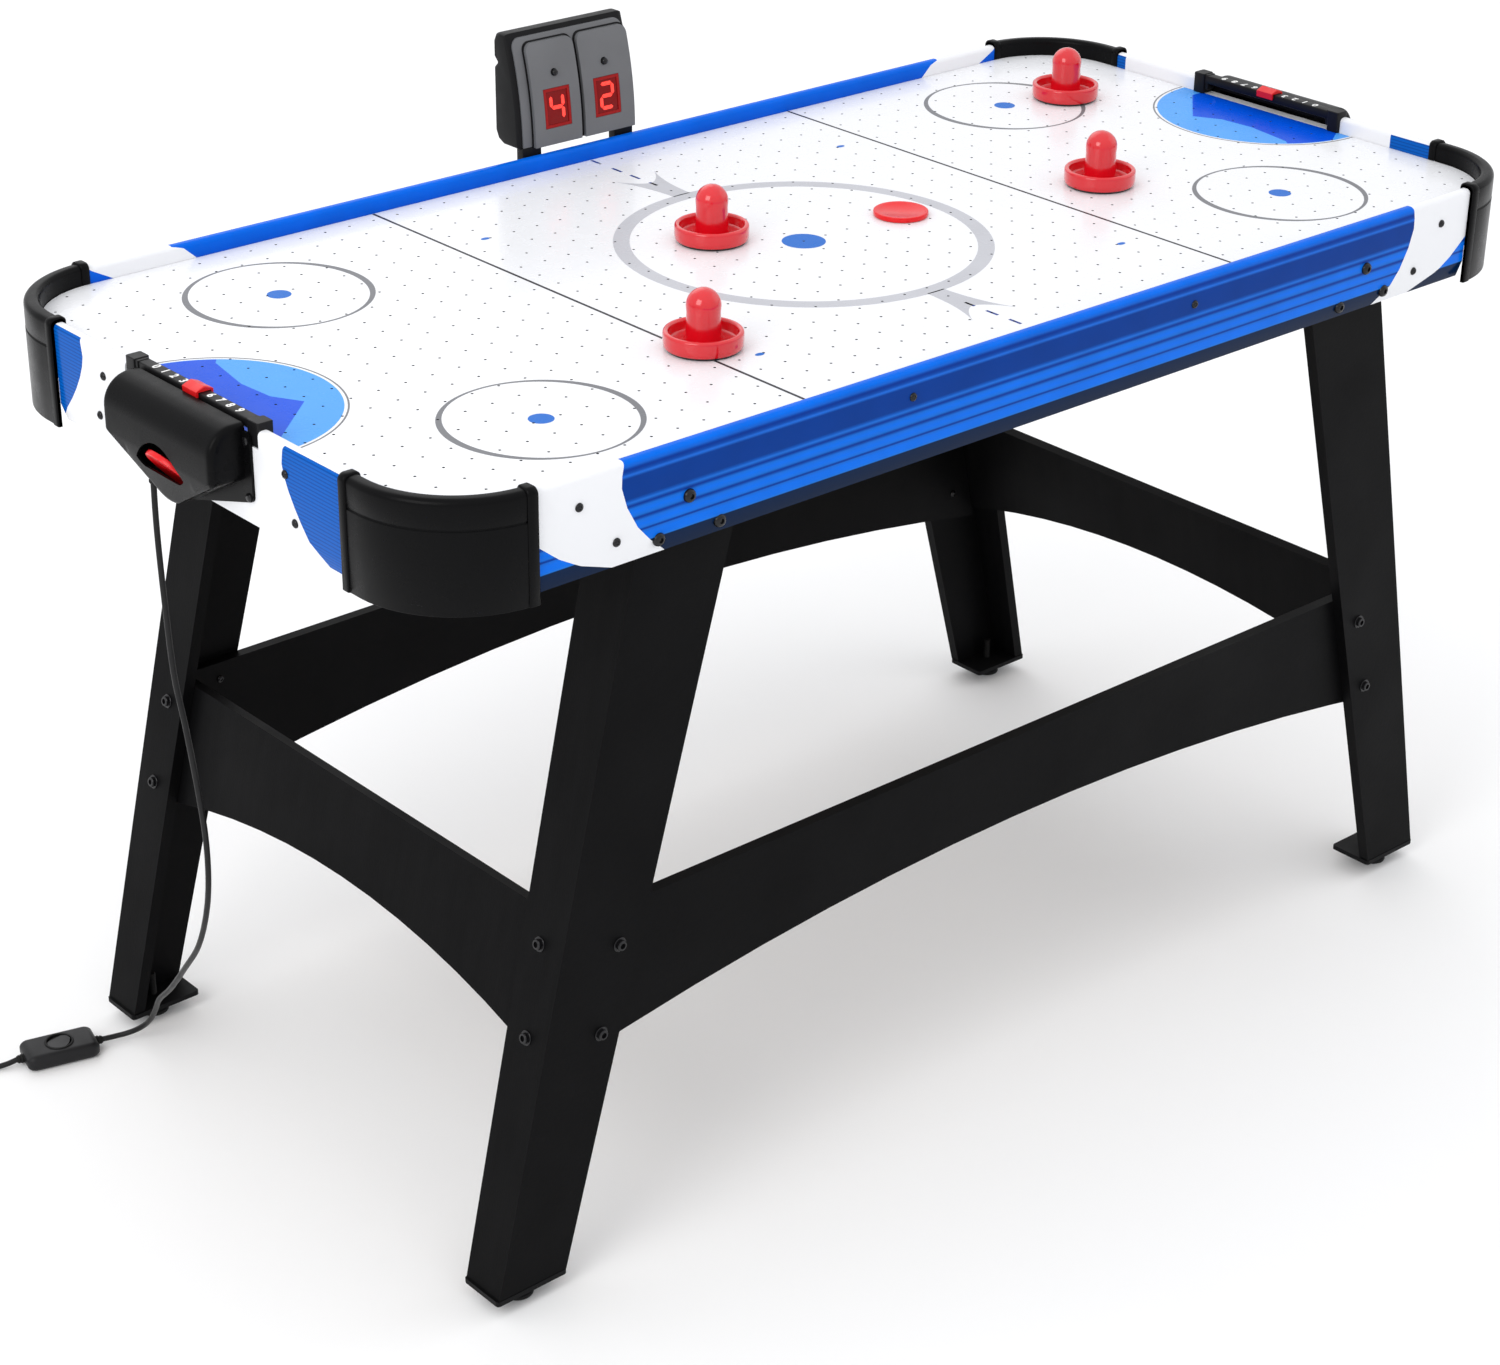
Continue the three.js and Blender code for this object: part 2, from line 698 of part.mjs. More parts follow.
function buildScoreboard() {
  const z0 = SCORE_BOTTOM;
  const z1 = SCORE_TOP;
  const seat = FACE_THICK + GAP; // the housing starts behind the face plate
  const side = polygon([
    ...faceEdge(2).reverse(),
    [SCORE_BACK - 14, z0],
    [SCORE_BACK, z0 + 10],
    [SCORE_BACK, z1 - 34],
    [SCORE_BACK - 5, z1 - 29],
    [SCORE_BACK, z1 - 24],
    [SCORE_BACK, z1 - 3],
    [SCORE_BACK - 3, z1],
  ]);
  const box = prism(side, "x", SCORE_X - SCORE_HALF, SCORE_X + SCORE_HALF);
  const room = prism(
    rect(SCORE_X - FACE_HALF + 4, z0 + SCORE_WALL, SCORE_X + FACE_HALF - 4, z1 - SCORE_WALL - 3),
    "y",
    SCORE_FACE,
    SCORE_BACK - 5 - SCORE_WALL,
  );
  const recess = faceSheet(-3, seat, FACE_HALF + GAP, 1);
  const posts = [-1, 1].map((s) => {
    const x0 = SCORE_X + s * (SCORE_HALF - 2);
    const x1 = x0 - s * POST_WIDE;
    const post = rect(Math.min(x0, x1), RAIL_TOP - 50, Math.max(x0, x1), z0 + 1);
    return prism(post, "y", SIDE_Y + GAP, SCORE_FACE + 12);
  });
  add("scoreboard_housing", join(cut(box, room, recess), ...posts), paint(0x202123, 0.5));

  const plate = faceSheet(0, FACE_THICK, FACE_HALF);
  const foot = rect(SCORE_X - SCORE_HALF, z0 - 1, SCORE_X + SCORE_HALF, z0 + 1 + GAP);
  const cuts = [prism(foot, "y", SIDE_Y, SCORE_BACK)];
  for (const x of Object.values(LED_X)) {
    cuts.push(prism(rect(x - LED_HALF, LED_BOTTOM, x + LED_HALF, LED_TOP), "y", SIDE_Y, SCORE_BACK));
    cuts.push(prism(circle(x, BUTTON_Z, BUTTON_R + GAP, 12), "y", SIDE_Y, SCORE_BACK));
  }
  add("scoreboard_face", cut(plate, ...cuts), paint(0x6c6e72, 0.45));

  const glass = faceSheet(0.8, FACE_THICK - 0.5, FACE_HALF);
  for (const [name, x] of Object.entries(LED_X)) {
    const half = LED_HALF - GAP;
    const hole = rect(x - half, LED_BOTTOM + GAP, x + half, LED_TOP - GAP);
    add(`led_window_${name}`, meet(prism(hole, "y", SIDE_Y, SCORE_BACK), glass), paint(0x7a0a0a, 0.2));
    const cap = prism(circle(x, BUTTON_Z, BUTTON_R, 12), "y", SCORE_FACE + 3.5, SCORE_FACE + 12);
    add(`scoreboard_button_${name}`, cap, paint(0x101010, 0.4));
  }
}

// ---- strikers and pucks ----

function strikerGeometry() {
  const z0 = FELT_THICK + GAP;
  const profile = [
    [0, z0],
    [STRIKER_R - 1.5, z0],
    [STRIKER_R - 0.5, z0 + 2],
    [STRIKER_R, 15],
    [STRIKER_R - 1, 17],
    [STRIKER_R - 3, 17],
    [STRIKER_R - 4, 15.5],
    [STRIKER_R - 5, 6],
    [20, 5.5],
    [KNOB_R + 1, 9],
    [KNOB_R, 14],
    [KNOB_R - 0.5, STRIKER_TALL - KNOB_R],
  ];
  const dome = 5;
  for (let i = 1; i < dome; i++) {
    const a = (Math.PI / 2) * (i / dome);
    profile.push([(KNOB_R - 0.5) * Math.cos(a), STRIKER_TALL - KNOB_R + KNOB_R * Math.sin(a)]);
  }
  profile.push([0, STRIKER_TALL]);
  return turned(profile, 24);
}

function puckGeometry() {
  const t = PUCK_THICK;
  const r = PUCK_R;
  const edge = 0.8;
  return turned([[0, 0], [r - edge, 0], [r, edge], [r, t - edge], [r - edge, t], [0, t]], 24);
}

function buildStrikersAndPucks() {
  const striker = strikerGeometry();
  const felt = turned([[0, 0], [STRIKER_R - 2.5, 0], [STRIKER_R - 2.5, FELT_THICK], [0, FELT_THICK]], 20);
  const base = FIELD_TOP + GAP;
  for (const [name, [x, y]] of Object.entries(STRIKERS)) {
    add(name, striker, paint(0xe3202c, 0.25), { at: [x, y, base] });
    add(`${name}_felt`, felt, paint(0x2a2a2a, 0.95), { at: [x, y, base] });
  }
  const red = paint(0xe0272f, 0.35);
  add("puck", puckGeometry(), red, { at: [...PUCK_AT, base] });
  const spare = puckGeometry().translate(0, 0, -PUCK_THICK / 2);
  spare.rotateY(THREE.MathUtils.degToRad(SPARE_PUCK_LEAN));
  add("spare_puck", spare, red, { at: SPARE_PUCK_AT });
}

// ---- power cord ----

function tube(points, steps) {
  const path = new THREE.CatmullRomCurve3(points.map((p) => V(...p)), false, "centripetal");
  const section = circle(0, 0, CORD_R, CORD_SIDES);
  return new THREE.ExtrudeGeometry(section, { steps, extrudePath: path, bevelEnabled: false });
}

// Down from the strain relief, slackening into a bow that meets the floor beside the rear left foot.
const CORD_UPPER = [
  [-706, 51, RELIEF_TOP - RELIEF_LONG - GAP],
  [-707, 50, 676],
  [-709, 46, 646],
  [-711, 39, 589],
  [-712, 31, 525],
  [-712, 18, 478],
  [-711, 6, 414],
  [-710, 2, 374],
  [-708, 6, 330],
  [-703, 22, 286],
  [-695, 54, 232],
  [-684, 103, 178],
  [-670, 158, 123],
  [-657, 205, 82],
  [-649, 228, 56],
  [-645.5, 243, 38],
  [-645.5, 255, 24.5],
  [-649.5, 264.5, 15.5],
  [-657, 272, 10],
  [-667, 277.6, 7.8],
  [-681.5, 282.1, 7.5],
];

// From the switch along the floor to the coil.
const CORD_LOWER = [
  [-766.4, 304.9, 7.5],
  [-776, 307.5, 5.2],
  [-788, 313, 3.2],
  [-800, 320.7, 3],
  [-811.5, 330.3, 3],
  [-823, 341, 3],
  [-835.5, 350.8, 3],
];

function buildRelief() {
  const [x, y] = RELIEF_AT;
  const z0 = RELIEF_TOP - RELIEF_LONG;
  const profile = [
    [0, z0],
    [CORD_R + 1, z0],
    [RELIEF_R, RELIEF_TOP - 12],
    [RELIEF_R, RELIEF_TOP],
    [0, RELIEF_TOP],
  ];
  add("cord_relief", turned(profile, 16), paint(0x141414, 0.6), { at: [x, y, 0] });
}

function switchBody() {
  const half = SWITCH_LONG / 2;
  const wide = SWITCH_WIDE / 2;
  const across = roundRect(-wide, 0, wide, SWITCH_TALL, 4, 3);
  const along = roundRect(-half, -wide, half, wide, 10, 4);
  const body = meet(prism(across, "x", -half, half), prism(along, "z", 0, SWITCH_TALL));
  const sleeves = [-1, 1].map((s) => {
    const sleeve = turned([[0, 0], [6, 0], [CORD_R + 1, SLEEVE_LONG], [0, SLEEVE_LONG]], 16);
    sleeve.rotateY((s * Math.PI) / 2).translate(s * (half - 1), 0, SLEEVE_Z);
    return sleeve;
  });
  const pocket = prism(circle(0, 0, ROCKER_R + 0.7, 24), "z", SWITCH_TALL - 8.5, SWITCH_TALL + 1);
  return cut(join(body, ...sleeves), pocket);
}

function rocker() {
  const r = ROCKER_R;
  const shape = polygon([[-r, -2.4], [r, -2.4], [r, 3.4], [0, 2.2], [-r, 3.4]]);
  const cap = meet(prism(shape, "y", -r, r), prism(circle(0, 0, r, 24), "z", -5, 5));
  cap.rotateY(THREE.MathUtils.degToRad(ROCKER_TILT)).translate(0, 0, SWITCH_TALL - 3.8);
  return cap;
}

function plugGeometry() {
  const body = prism(roundRect(0, -20, 50, 20, 6, 3), "z", 0.2, 28);
  const sleeve = turned([[0, 0], [5.5, 0], [CORD_R + 1, 14], [0, 14]], 16);
  sleeve.rotateY(-Math.PI / 2).translate(0.5, 0, 12);
  const pins = [-6.5, 6.5].map((y) => new THREE.BoxGeometry(18, 1.6, 6.5).translate(58, y, 14));
  return join(body, sleeve, ...pins);
}

function buildCord() {
  const black = paint(0x141414, 0.6);
  buildRelief();
  add("cord_upper", tube(CORD_UPPER, 68), black);
  const at = [...SWITCH_AT, 0];
  add("switch_body", switchBody(), paint(0x17181a, 0.45), { at, turn: SWITCH_TURN });
  add("switch_rocker", rocker(), paint(0x202124, 0.35), { at, turn: SWITCH_TURN });
  add("cord_lower", tube(CORD_LOWER, 8), black);

  const inner = COIL_R - COIL_HALF;
  const outer = COIL_R + COIL_HALF;
  const ring = [
    [inner, 3],
    [inner + 2, 0.3],
    [outer - 2, 0.3],
    [outer, 3],
    [outer - 3, 8],
    [outer - 5, COIL_TALL],
    [inner + 5, COIL_TALL],
    [inner + 3, 8],
    [inner, 3],
  ];
  add("cord_coil", turned(ring, 32), black, { at: [...COIL_AT, 0] });
  add("plug", plugGeometry(), paint(0x17181a, 0.5), { at: [...PLUG_AT, 0], turn: 180 });
}

buildPlayfield();
buildSideRails();
buildEndRails();
buildGuards();
buildBottomPanel();
buildBattens();
buildGoals();
buildLegs();
buildLongStretchers();
buildEndStretchers();
buildBlower();
buildScoreboard();
buildStrikersAndPucks();
buildCord();

export default table;
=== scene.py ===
# Air hockey table: the looks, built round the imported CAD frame. Metres, +X along the table, +Z up.
import json
import math

import bmesh
import bpy
from mathutils import Matrix, Vector
from mathutils.geometry import delaunay_2d_cdt

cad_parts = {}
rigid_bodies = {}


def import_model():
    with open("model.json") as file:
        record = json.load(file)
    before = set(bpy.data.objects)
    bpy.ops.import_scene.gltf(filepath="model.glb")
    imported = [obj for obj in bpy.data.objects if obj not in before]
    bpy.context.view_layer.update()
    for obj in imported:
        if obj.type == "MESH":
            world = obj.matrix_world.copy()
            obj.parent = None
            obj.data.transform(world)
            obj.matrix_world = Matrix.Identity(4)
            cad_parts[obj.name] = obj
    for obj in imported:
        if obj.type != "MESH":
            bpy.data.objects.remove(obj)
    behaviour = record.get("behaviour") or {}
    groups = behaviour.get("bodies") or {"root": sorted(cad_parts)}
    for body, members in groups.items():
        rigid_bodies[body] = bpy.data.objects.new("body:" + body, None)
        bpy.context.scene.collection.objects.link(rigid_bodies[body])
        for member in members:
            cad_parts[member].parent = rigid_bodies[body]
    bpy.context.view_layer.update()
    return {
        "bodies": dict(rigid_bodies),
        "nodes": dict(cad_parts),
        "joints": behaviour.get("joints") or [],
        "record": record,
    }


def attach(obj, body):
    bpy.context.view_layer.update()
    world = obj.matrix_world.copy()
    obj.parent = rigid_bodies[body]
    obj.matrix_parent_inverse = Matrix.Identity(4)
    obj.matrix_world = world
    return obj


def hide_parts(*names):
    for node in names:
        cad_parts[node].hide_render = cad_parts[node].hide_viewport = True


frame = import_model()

TAU = 2 * math.pi
NODES = frame["nodes"]

# ---- dimensions in mm, before the table is centred on its box ----
CENTRE_Y = 19.25

# playing area
FIELD_TOP = 780
FIELD_BOTTOM = 776
FIELD_X = 683
FIELD_Y = 331
CORNER_R = 88
ARC_X = FIELD_X - CORNER_R
ARC_Y = FIELD_Y - CORNER_R
HOLE_PITCH = 28.575
HOLE_R = 1.4
HOLES_X = 23
HOLES_Y = 11
INK = 0.1

# rails and corner guards
RAIL_THICK = 12
RAIL_TOP = 796
RAIL_BOTTOM = 703.5
RAIL_BEVEL_Z = 721
RAIL_BEVEL_IN = 6
RAIL_EDGE_R = 4.5
END_X = FIELD_X + RAIL_THICK
SIDE_Y = FIELD_Y + RAIL_THICK
GUARD_OUT = 3
GUARD_TOP = 799
GUARD_BOTTOM = 698
GUARD_TAIL = 21
COLLAR_WIDE = 9
COLLAR_PROUD = 1.5

# goals and puck-return boxes
GOAL_HALF = 88
GOAL_POST = 14.5
BOX_HALF = 84
BOX_DEPTH = 36
BOX_TOP = 798
BOX_CHIN = 706
BOX_END_Z = 749
FLANGE_HALF = 94

# legs and stretchers
LEG_BOTTOM = 20.3
LEG_FOOT_X = 643.5
LEG_LEAN = 0.2359
LEG_Y = 330.5
BOARD = 12
FOOT_X = 606
FOOT_Y = 307

# scoreboard
SCORE_X = -5
SCORE_HALF = 76.5
SCORE_FACE = 344
SCORE_LEAN = 20
SCORE_BACK = 386
SCORE_BOTTOM = 802
SCORE_TOP = 919
FACE_HALF = 71
LED_X = {"left": -33.5, "right": 32}
LED_Z = 840.5
BUTTON_Z = 876

# strikers and pucks
STRIKERS = {
    "striker_1": (-67, 59),
    "striker_2": (-262, -157),
    "striker_3": (353, -60),
    "striker_4": (548, 175),
}
STRIKER_R = 36.5
STRIKER_TALL = 56
KNOB_R = 16
PUCK_AT = (128, -2, 780.3)
PUCK_R = 27.5
PUCK_THICK = 5
SPARE_PUCK_AT = (-715.9, 0, 732.9)
SPARE_PUCK_LEAN = 50

# power cord
CORD_R = 2.75
RELIEF_AT = (-706, 51, 0)
SWITCH_AT = (-724, 293.5, 0)
SWITCH_TURN = 165
SWITCH_LONG = 74
SWITCH_WIDE = 42
SWITCH_TALL = 17
SLEEVE_Z = 7.5
ROCKER_R = 11.6
# The rocker rests tilted by these degrees about an axis this far under the switch's top.
ROCKER_TILT = 7
ROCKER_PIVOT = 3.8
WELL_R = ROCKER_R + 0.7
WELL_DEEP = 7
COIL_AT = (-838, 392)
PLUG_AT = (-876.8, 359.5, 0)
PLUG_LONG = 50
PLUG_WIDE = 40
PLUG_TALL = 27.6
PLUG_CORD_Z = 12
PIN_LONG = 19
PIN_Y = 6.5
PIN_Z = 14


def at(x, y, z):
    """A point given in mm, as metres in the frame."""
    return Vector((x / 1000, (y - CENTRE_Y) / 1000, z / 1000))


def add(name, data):
    """A new object in the scene."""
    obj = bpy.data.objects.new(name, data)
    bpy.context.scene.collection.objects.link(obj)
    return obj


# ---- materials ----
class Shader:
    """A node material, with short calls for the nodes it is made of."""

    def __init__(self, name):
        self.material = bpy.data.materials.new(name)
        self.material.use_nodes = True
        self.tree = self.material.node_tree
        self.bsdf = self.tree.nodes["Principled BSDF"]
        self.place = self.new("ShaderNodeTexCoord").outputs["Object"]

    def new(self, kind, **settings):
        node = self.tree.nodes.new(kind)
        for key, value in settings.items():
            setattr(node, key, value)
        return node

    def put(self, socket, value):
        if isinstance(value, bpy.types.NodeSocket):
            self.tree.links.new(value, socket)
        elif isinstance(value, (tuple, list)) and len(value) == 3 and len(socket.default_value) == 4:
            socket.default_value = (*value, 1)
        else:
            socket.default_value = value

    def set(self, name, value):
        self.put(self.bsdf.inputs[name], value)

    def math(self, op, a, b=0.0, c=0.0):
        node = self.new("ShaderNodeMath", operation=op)
        for socket, value in zip(node.inputs, (a, b, c)):
            self.put(socket, value)
        return node.outputs[0]

    def mix(self, factor, a, b):
        node = self.new("ShaderNodeMix", data_type="RGBA")
        self.put(node.inputs["Factor"], factor)
        self.put(node.inputs["A"], a)
        self.put(node.inputs["B"], b)
        return node.outputs["Result"]

    def spread(self, value, low, high):
        """value, which runs from 0 to 1, as low to high."""
        node = self.new("ShaderNodeMapRange")
        self.put(node.inputs["Value"], value)
        node.inputs["From Min"].default_value = 0.25
        node.inputs["From Max"].default_value = 0.75
        node.inputs["To Min"].default_value = low
        node.inputs["To Max"].default_value = high
        return node.outputs["Result"]

    def noise(self, scale, detail=3.0, stretch=(1, 1, 1)):
        node = self.new("ShaderNodeTexNoise")
        node.inputs["Scale"].default_value = scale
        node.inputs["Detail"].default_value = detail
        mapping = self.new("ShaderNodeMapping")
        mapping.inputs["Scale"].default_value = stretch
        self.put(mapping.inputs["Vector"], self.place)
        self.put(node.inputs["Vector"], mapping.outputs["Vector"])
        return node.outputs["Fac"]

    def ramp(self, value, low, high, stops):
        """Colours or numbers along value, each stop given as (where, what)."""
        node = self.new("ShaderNodeValToRGB")
        self.put(node.inputs["Fac"], self.math("DIVIDE", self.math("SUBTRACT", value, low), high - low))
        marks = node.color_ramp.elements
        marks.remove(marks[-1])
        for i, (where, what) in enumerate(stops):
            mark = marks.new((where - low) / (high - low)) if i else marks[0]
            mark.position = (where - low) / (high - low)
            mark.color = (*what, 1) if isinstance(what, tuple) else (what, what, what, 1)
        return node.outputs["Color"]

    def axis(self, index):
        node = self.new("ShaderNodeSeparateXYZ")
        self.put(node.inputs["Vector"], self.place)
        return node.outputs[index]

    def attribute(self, name):
        return self.new("ShaderNodeAttribute", attribute_name=name).outputs["Fac"]

    def bump(self, height, strength, distance=0.001):
        node = self.new("ShaderNodeBump")
        node.inputs["Strength"].default_value = strength
        node.inputs["Distance"].default_value = distance
        self.put(node.inputs["Height"], height)
        self.set("Normal", node.outputs["Normal"])


def shade(color, amount):
    return tuple(max(0.0, c * amount) for c in color)


def plastic(name, color, rough=0.4, grain=900.0, bump=0.08, vary=0.1, metal=0.0, coat=0.0, spec=0.5):
    """Moulded plastic, paint or metal: slow colour drift, patchy roughness and a fine grain."""
    s = Shader(name)
    drift = s.noise(14, 4)
    s.set("Base Color", s.mix(s.spread(drift, 0, 1), shade(color, 1 - vary), shade(color, 1 + vary)))
    handled = s.noise(60, 5)
    s.set("Roughness", s.spread(handled, rough * 0.86, min(1.0, rough * 1.16)))
    s.set("Metallic", metal)
    s.set("Specular IOR Level", spec)
    s.set("Coat Weight", coat)
    s.set("Coat Roughness", 0.08)
    s.bump(s.noise(grain, 2), bump)
    return s.material


def laminate(name, color, rough):
    """Foil-wrapped board: faint lengthwise grain and rub marks."""
    s = Shader(name)
    grain = s.noise(30, 6, (0.4, 3, 0.4))
    rub = s.noise(9, 5)
    tone = s.mix(s.spread(grain, 0, 1), shade(color, 0.8), shade(color, 1.3))
    s.set("Base Color", tone)
    s.set("Roughness", s.spread(rub, rough * 0.85, rough * 1.2))
    s.set("Specular IOR Level", 0.05)
    s.bump(s.noise(420, 4, (0.5, 2, 0.5)), 0.12)
    return s.material


def fibre(name, color, rough=0.9, scale=700.0, bump=0.6):
    s = Shader(name)
    tuft = s.noise(scale, 4)
    s.set("Base Color", s.mix(s.spread(tuft, 0, 1), shade(color, 0.55), shade(color, 1.35)))
    s.set("Roughness", s.spread(s.noise(40), rough * 0.9, min(1.0, rough * 1.05)))
    s.set("Sheen Weight", 0.2)
    s.bump(tuft, bump)
    return s.material


def srgb(r, g, b):
    """Colour from 0-255 screen values."""
    return tuple(((c / 255 + 0.055) / 1.055) ** 2.4 if c > 10 else c / 255 / 12.92 for c in (r, g, b))


NAVY = srgb(2, 26, 56)
WHITE = srgb(234, 235, 238)

M_GUARD = plastic("guard_black", (0.003, 0.003, 0.0033), 0.28, 1100, 0.06, spec=0.07)
M_BOX = plastic("box_black", (0.003, 0.003, 0.0033), 0.28, 1300, 0.04, spec=0.07)
M_BAR = plastic("bar_black", (0.006, 0.006, 0.0065), 0.4, 1000, 0.08, spec=0.18)
M_BOARD = laminate("board_black", (0.003, 0.003, 0.0033), 0.48)
M_CAP = plastic("cap_black", (0.004, 0.004, 0.0044), 0.5, 900, 0.1, spec=0.1)
M_BOLT = plastic("bolt_black", (0.008, 0.008, 0.009), 0.24, 1500, 0.04, metal=0.4)
M_RAW = fibre("raw_board", (0.21, 0.13, 0.07), 0.85, 260, 0.3)
M_RED = plastic("striker_red", (0.66, 0.004, 0.012), 0.14, 500, 0.02, 0.06, coat=0.5)
M_SLIDER = plastic("slider_red", (0.72, 0.006, 0.008), 0.35, 900, 0.04, 0.06)
M_PUCK = plastic("puck_red", (0.75, 0.004, 0.008), 0.3, 700, 0.04, 0.08, coat=0.1, spec=0.3)
M_FELT = fibre("felt_black", (0.012, 0.012, 0.013))
M_HOUSING = plastic("scoreboard_black", (0.006, 0.006, 0.0065), 0.45, 1200, 0.06, spec=0.14)
M_FACE = plastic("scoreboard_grey", (0.125, 0.128, 0.135), 0.34, 1200, 0.05)
M_LED_RIM = plastic("led_rim", (0.3, 0.004, 0.004), 0.35, 900, 0.02, spec=0.2)
M_LED_GLASS = plastic("led_glass", (0.2, 0.002, 0.002), 0.25, 900, 0.01, spec=0.2)
M_RUBBER = plastic("rubber_black", (0.006, 0.006, 0.006), 0.55, 900, 0.1, spec=0.2)
M_CORD = plastic("cord_black", (0.007, 0.007, 0.0075), 0.42, 700, 0.12, spec=0.25)
M_SWITCH = plastic("switch_black", (0.008, 0.008, 0.009), 0.4, 1300, 0.08, spec=0.25)
M_STEEL = plastic("motor_steel", (0.42, 0.43, 0.45), 0.34, 800, 0.05, metal=0.9)
M_BRASS = plastic("pin_brass", (0.55, 0.42, 0.2), 0.28, 800, 0.03, metal=1.0)
M_FIELD = plastic("field_white", WHITE, 0.26, 260, 0.008, 0.012, coat=0.12, spec=0.25)
# Dark grey for the air holes' walls: painted shade inside the holes.
M_HOLE_SHADE = plastic("hole_wall_painted_shade", (0.05, 0.05, 0.055), 0.7, 900, 0.05, spec=0.1)
M_DIGIT = plastic("digit_white", (0.85, 0.85, 0.84), 0.4, 900, 0.03, 0.03)


def ink(name, r, g, b):
    """A printed colour from 0-255 screen values."""
    return plastic(f"ink_{name}", srgb(r, g, b), 0.26, 260, 0.01, 0.04, coat=0.02, spec=0.06)


M_INK_GREY = ink("grey", 188, 189, 195)
M_INK_MID = ink("mid", 120, 121, 125)
M_INK_DARK = ink("dark", 52, 52, 56)
M_INK_BLUE = ink("blue", 24, 104, 196)
M_INK_SKY = ink("sky", 78, 158, 238)
# Dark blue for the shape next to each goal mouth: a painted reflection of the goal in the glossy field.
M_PAINTED_GOAL_REFLECTION = ink("painted_goal_reflection", 0, 80, 214)
M_INK_NAVY = ink("navy", 10, 50, 132)


def lit_segment():
    s = Shader("led_segment")
    s.set("Base Color", (0.9, 0.03, 0.02))
    s.set("Emission Color", s.mix(s.spread(s.noise(300), 0, 1), (1, 0.035, 0.02), (1, 0.07, 0.045)))
    s.set("Emission Strength", 0.85)
    s.set("Roughness", s.spread(s.noise(60), 0.25, 0.35))
    return s.material


M_SEGMENT = lit_segment()

# The long rails' colours from the bottom edge up the face, then over the top and down the inner face,
# as (place round the section, colour in 0-255 screen values): print, with painted shade in the navy on the
# lower bevel, which faces down, and painted highlights in the lighter edges of the bright bands.
DEEP_BLUE = (0, 54, 148)
STRIPES_AND_PAINTED_LIGHT = [
    (703.5, (2, 26, 56)),
    (720.5, (2, 31, 66)),
    (721, (28, 117, 217)),
    (723, (5, 112, 234)),
    (728, (5, 112, 234)),
    (730.5, (20, 105, 212)),
    (731.5, DEEP_BLUE),
    (732.3, DEEP_BLUE),
    (733.6, (20, 112, 221)),
    (737, (3, 111, 236)),
    (740.6, (20, 110, 220)),
    (743, DEEP_BLUE),
    (744, DEEP_BLUE),
    (745.8, (20, 110, 215)),
    (749.5, (4, 111, 235)),
    (752.8, (17, 109, 217)),
    (755, DEEP_BLUE),
    (756, DEEP_BLUE),
    (758.5, (29, 112, 215)),
    (760, (9, 86, 187)),
    (762, (1, 57, 142)),
    (780.5, (1, 57, 142)),
    (783, (32, 109, 218)),
    (785, (6, 72, 168)),
    (787, DEEP_BLUE),
    (788.5, DEEP_BLUE),
    (791, (18, 98, 208)),
    (794, (2, 108, 230)),
    (808.6, (2, 100, 225)),
    (824, (2, 80, 205)),
]
# Where the long rails turn from blue to white, as (place round the section, distance from the middle),
# and where they turn blue again towards the corner.
BAND_START = [
    (703, 457), (720.5, 477.7), (735, 490.6), (755, 501.5), (773.5, 507), (784, 506.5), (796, 504),
    (804, 504), (808, 492), (824, 474),
]
BAND_END = [
    (703, 512), (717, 549), (730, 572), (748.5, 595.5), (749, 800), (805, 800), (806, 594), (808, 592),
    (824, 562),
]
# The same for the end rails, which are white in the middle.
PATCH_START = [
    (703, 211), (712, 200), (722, 189.5), (733, 180), (745, 171), (758, 163), (769, 158),
    (779, 155.5), (791, 157.5), (796, 159), (796.5, 400), (805, 400), (805.5, 190), (830, 190),
]


def printed(name, axis):
    """Shared part of the rails' print: its shader, place round the section and distance from the middle."""
    s = Shader(name)
    u = s.math("ADD", s.attribute("u"), 0)
    away = s.math("ABSOLUTE", s.axis(axis))
    s.set("Roughness", s.spread(s.noise(40, 5), 0.13, 0.24))
    s.set("Coat Weight", 0.04)
    s.set("Coat Roughness", 0.05)
    s.set("Specular IOR Level", 0.05)
    s.bump(s.noise(240, 3), 0.02)
    return s, u, away


def beyond(s, u, away, edge):
    """1 where away is past an edge given in mm."""
    limit = s.ramp(u, 700, 830, [(where, how_far / 1000) for where, how_far in edge])
    return s.math("GREATER_THAN", away, limit)


def blues(s, u):
    # These stops paint shade on the lower bevel and highlights on the edges of the bright bands.
    tone = s.ramp(u, 700, 830, [(where, srgb(*color)) for where, color in STRIPES_AND_PAINTED_LIGHT])
    return s.mix(s.spread(s.noise(22, 4), 0.0, 0.16), tone, NAVY)


# The side rails' print, with painted shade on the lower bevel and painted highlights on the band edges.
def side_print():
    s, u, away = printed("side_rail_print_and_painted_light", 0)
    white = s.math("SUBTRACT", beyond(s, u, away, BAND_START), beyond(s, u, away, BAND_END))
    s.set("Base Color", s.mix(white, blues(s, u), WHITE))
    return s.material


def end_print():
    s, u, away = printed("end_rail_print", 1)
    comb = s.math("SINE", s.math("MULTIPLY", u, TAU / 3.4))
    lined = s.mix(s.spread(comb, 0, 1), srgb(4, 90, 182), srgb(2, 70, 150))
    s.set("Base Color", s.mix(beyond(s, u, away, PATCH_START), WHITE, lined))
    return s.material


M_SIDE_PRINT_AND_PAINTED_LIGHT = side_print()
M_END_PRINT = end_print()

# ---- outlines ----


def arc(cu, cv, r, start, end, steps=6):
    """Points of an arc in degrees, both ends included."""
    out = []
    for i in range(steps + 1):
        a = math.radians(start + (end - start) * i / steps)
        out.append((cu + r * math.cos(a), cv + r * math.sin(a)))
    return out


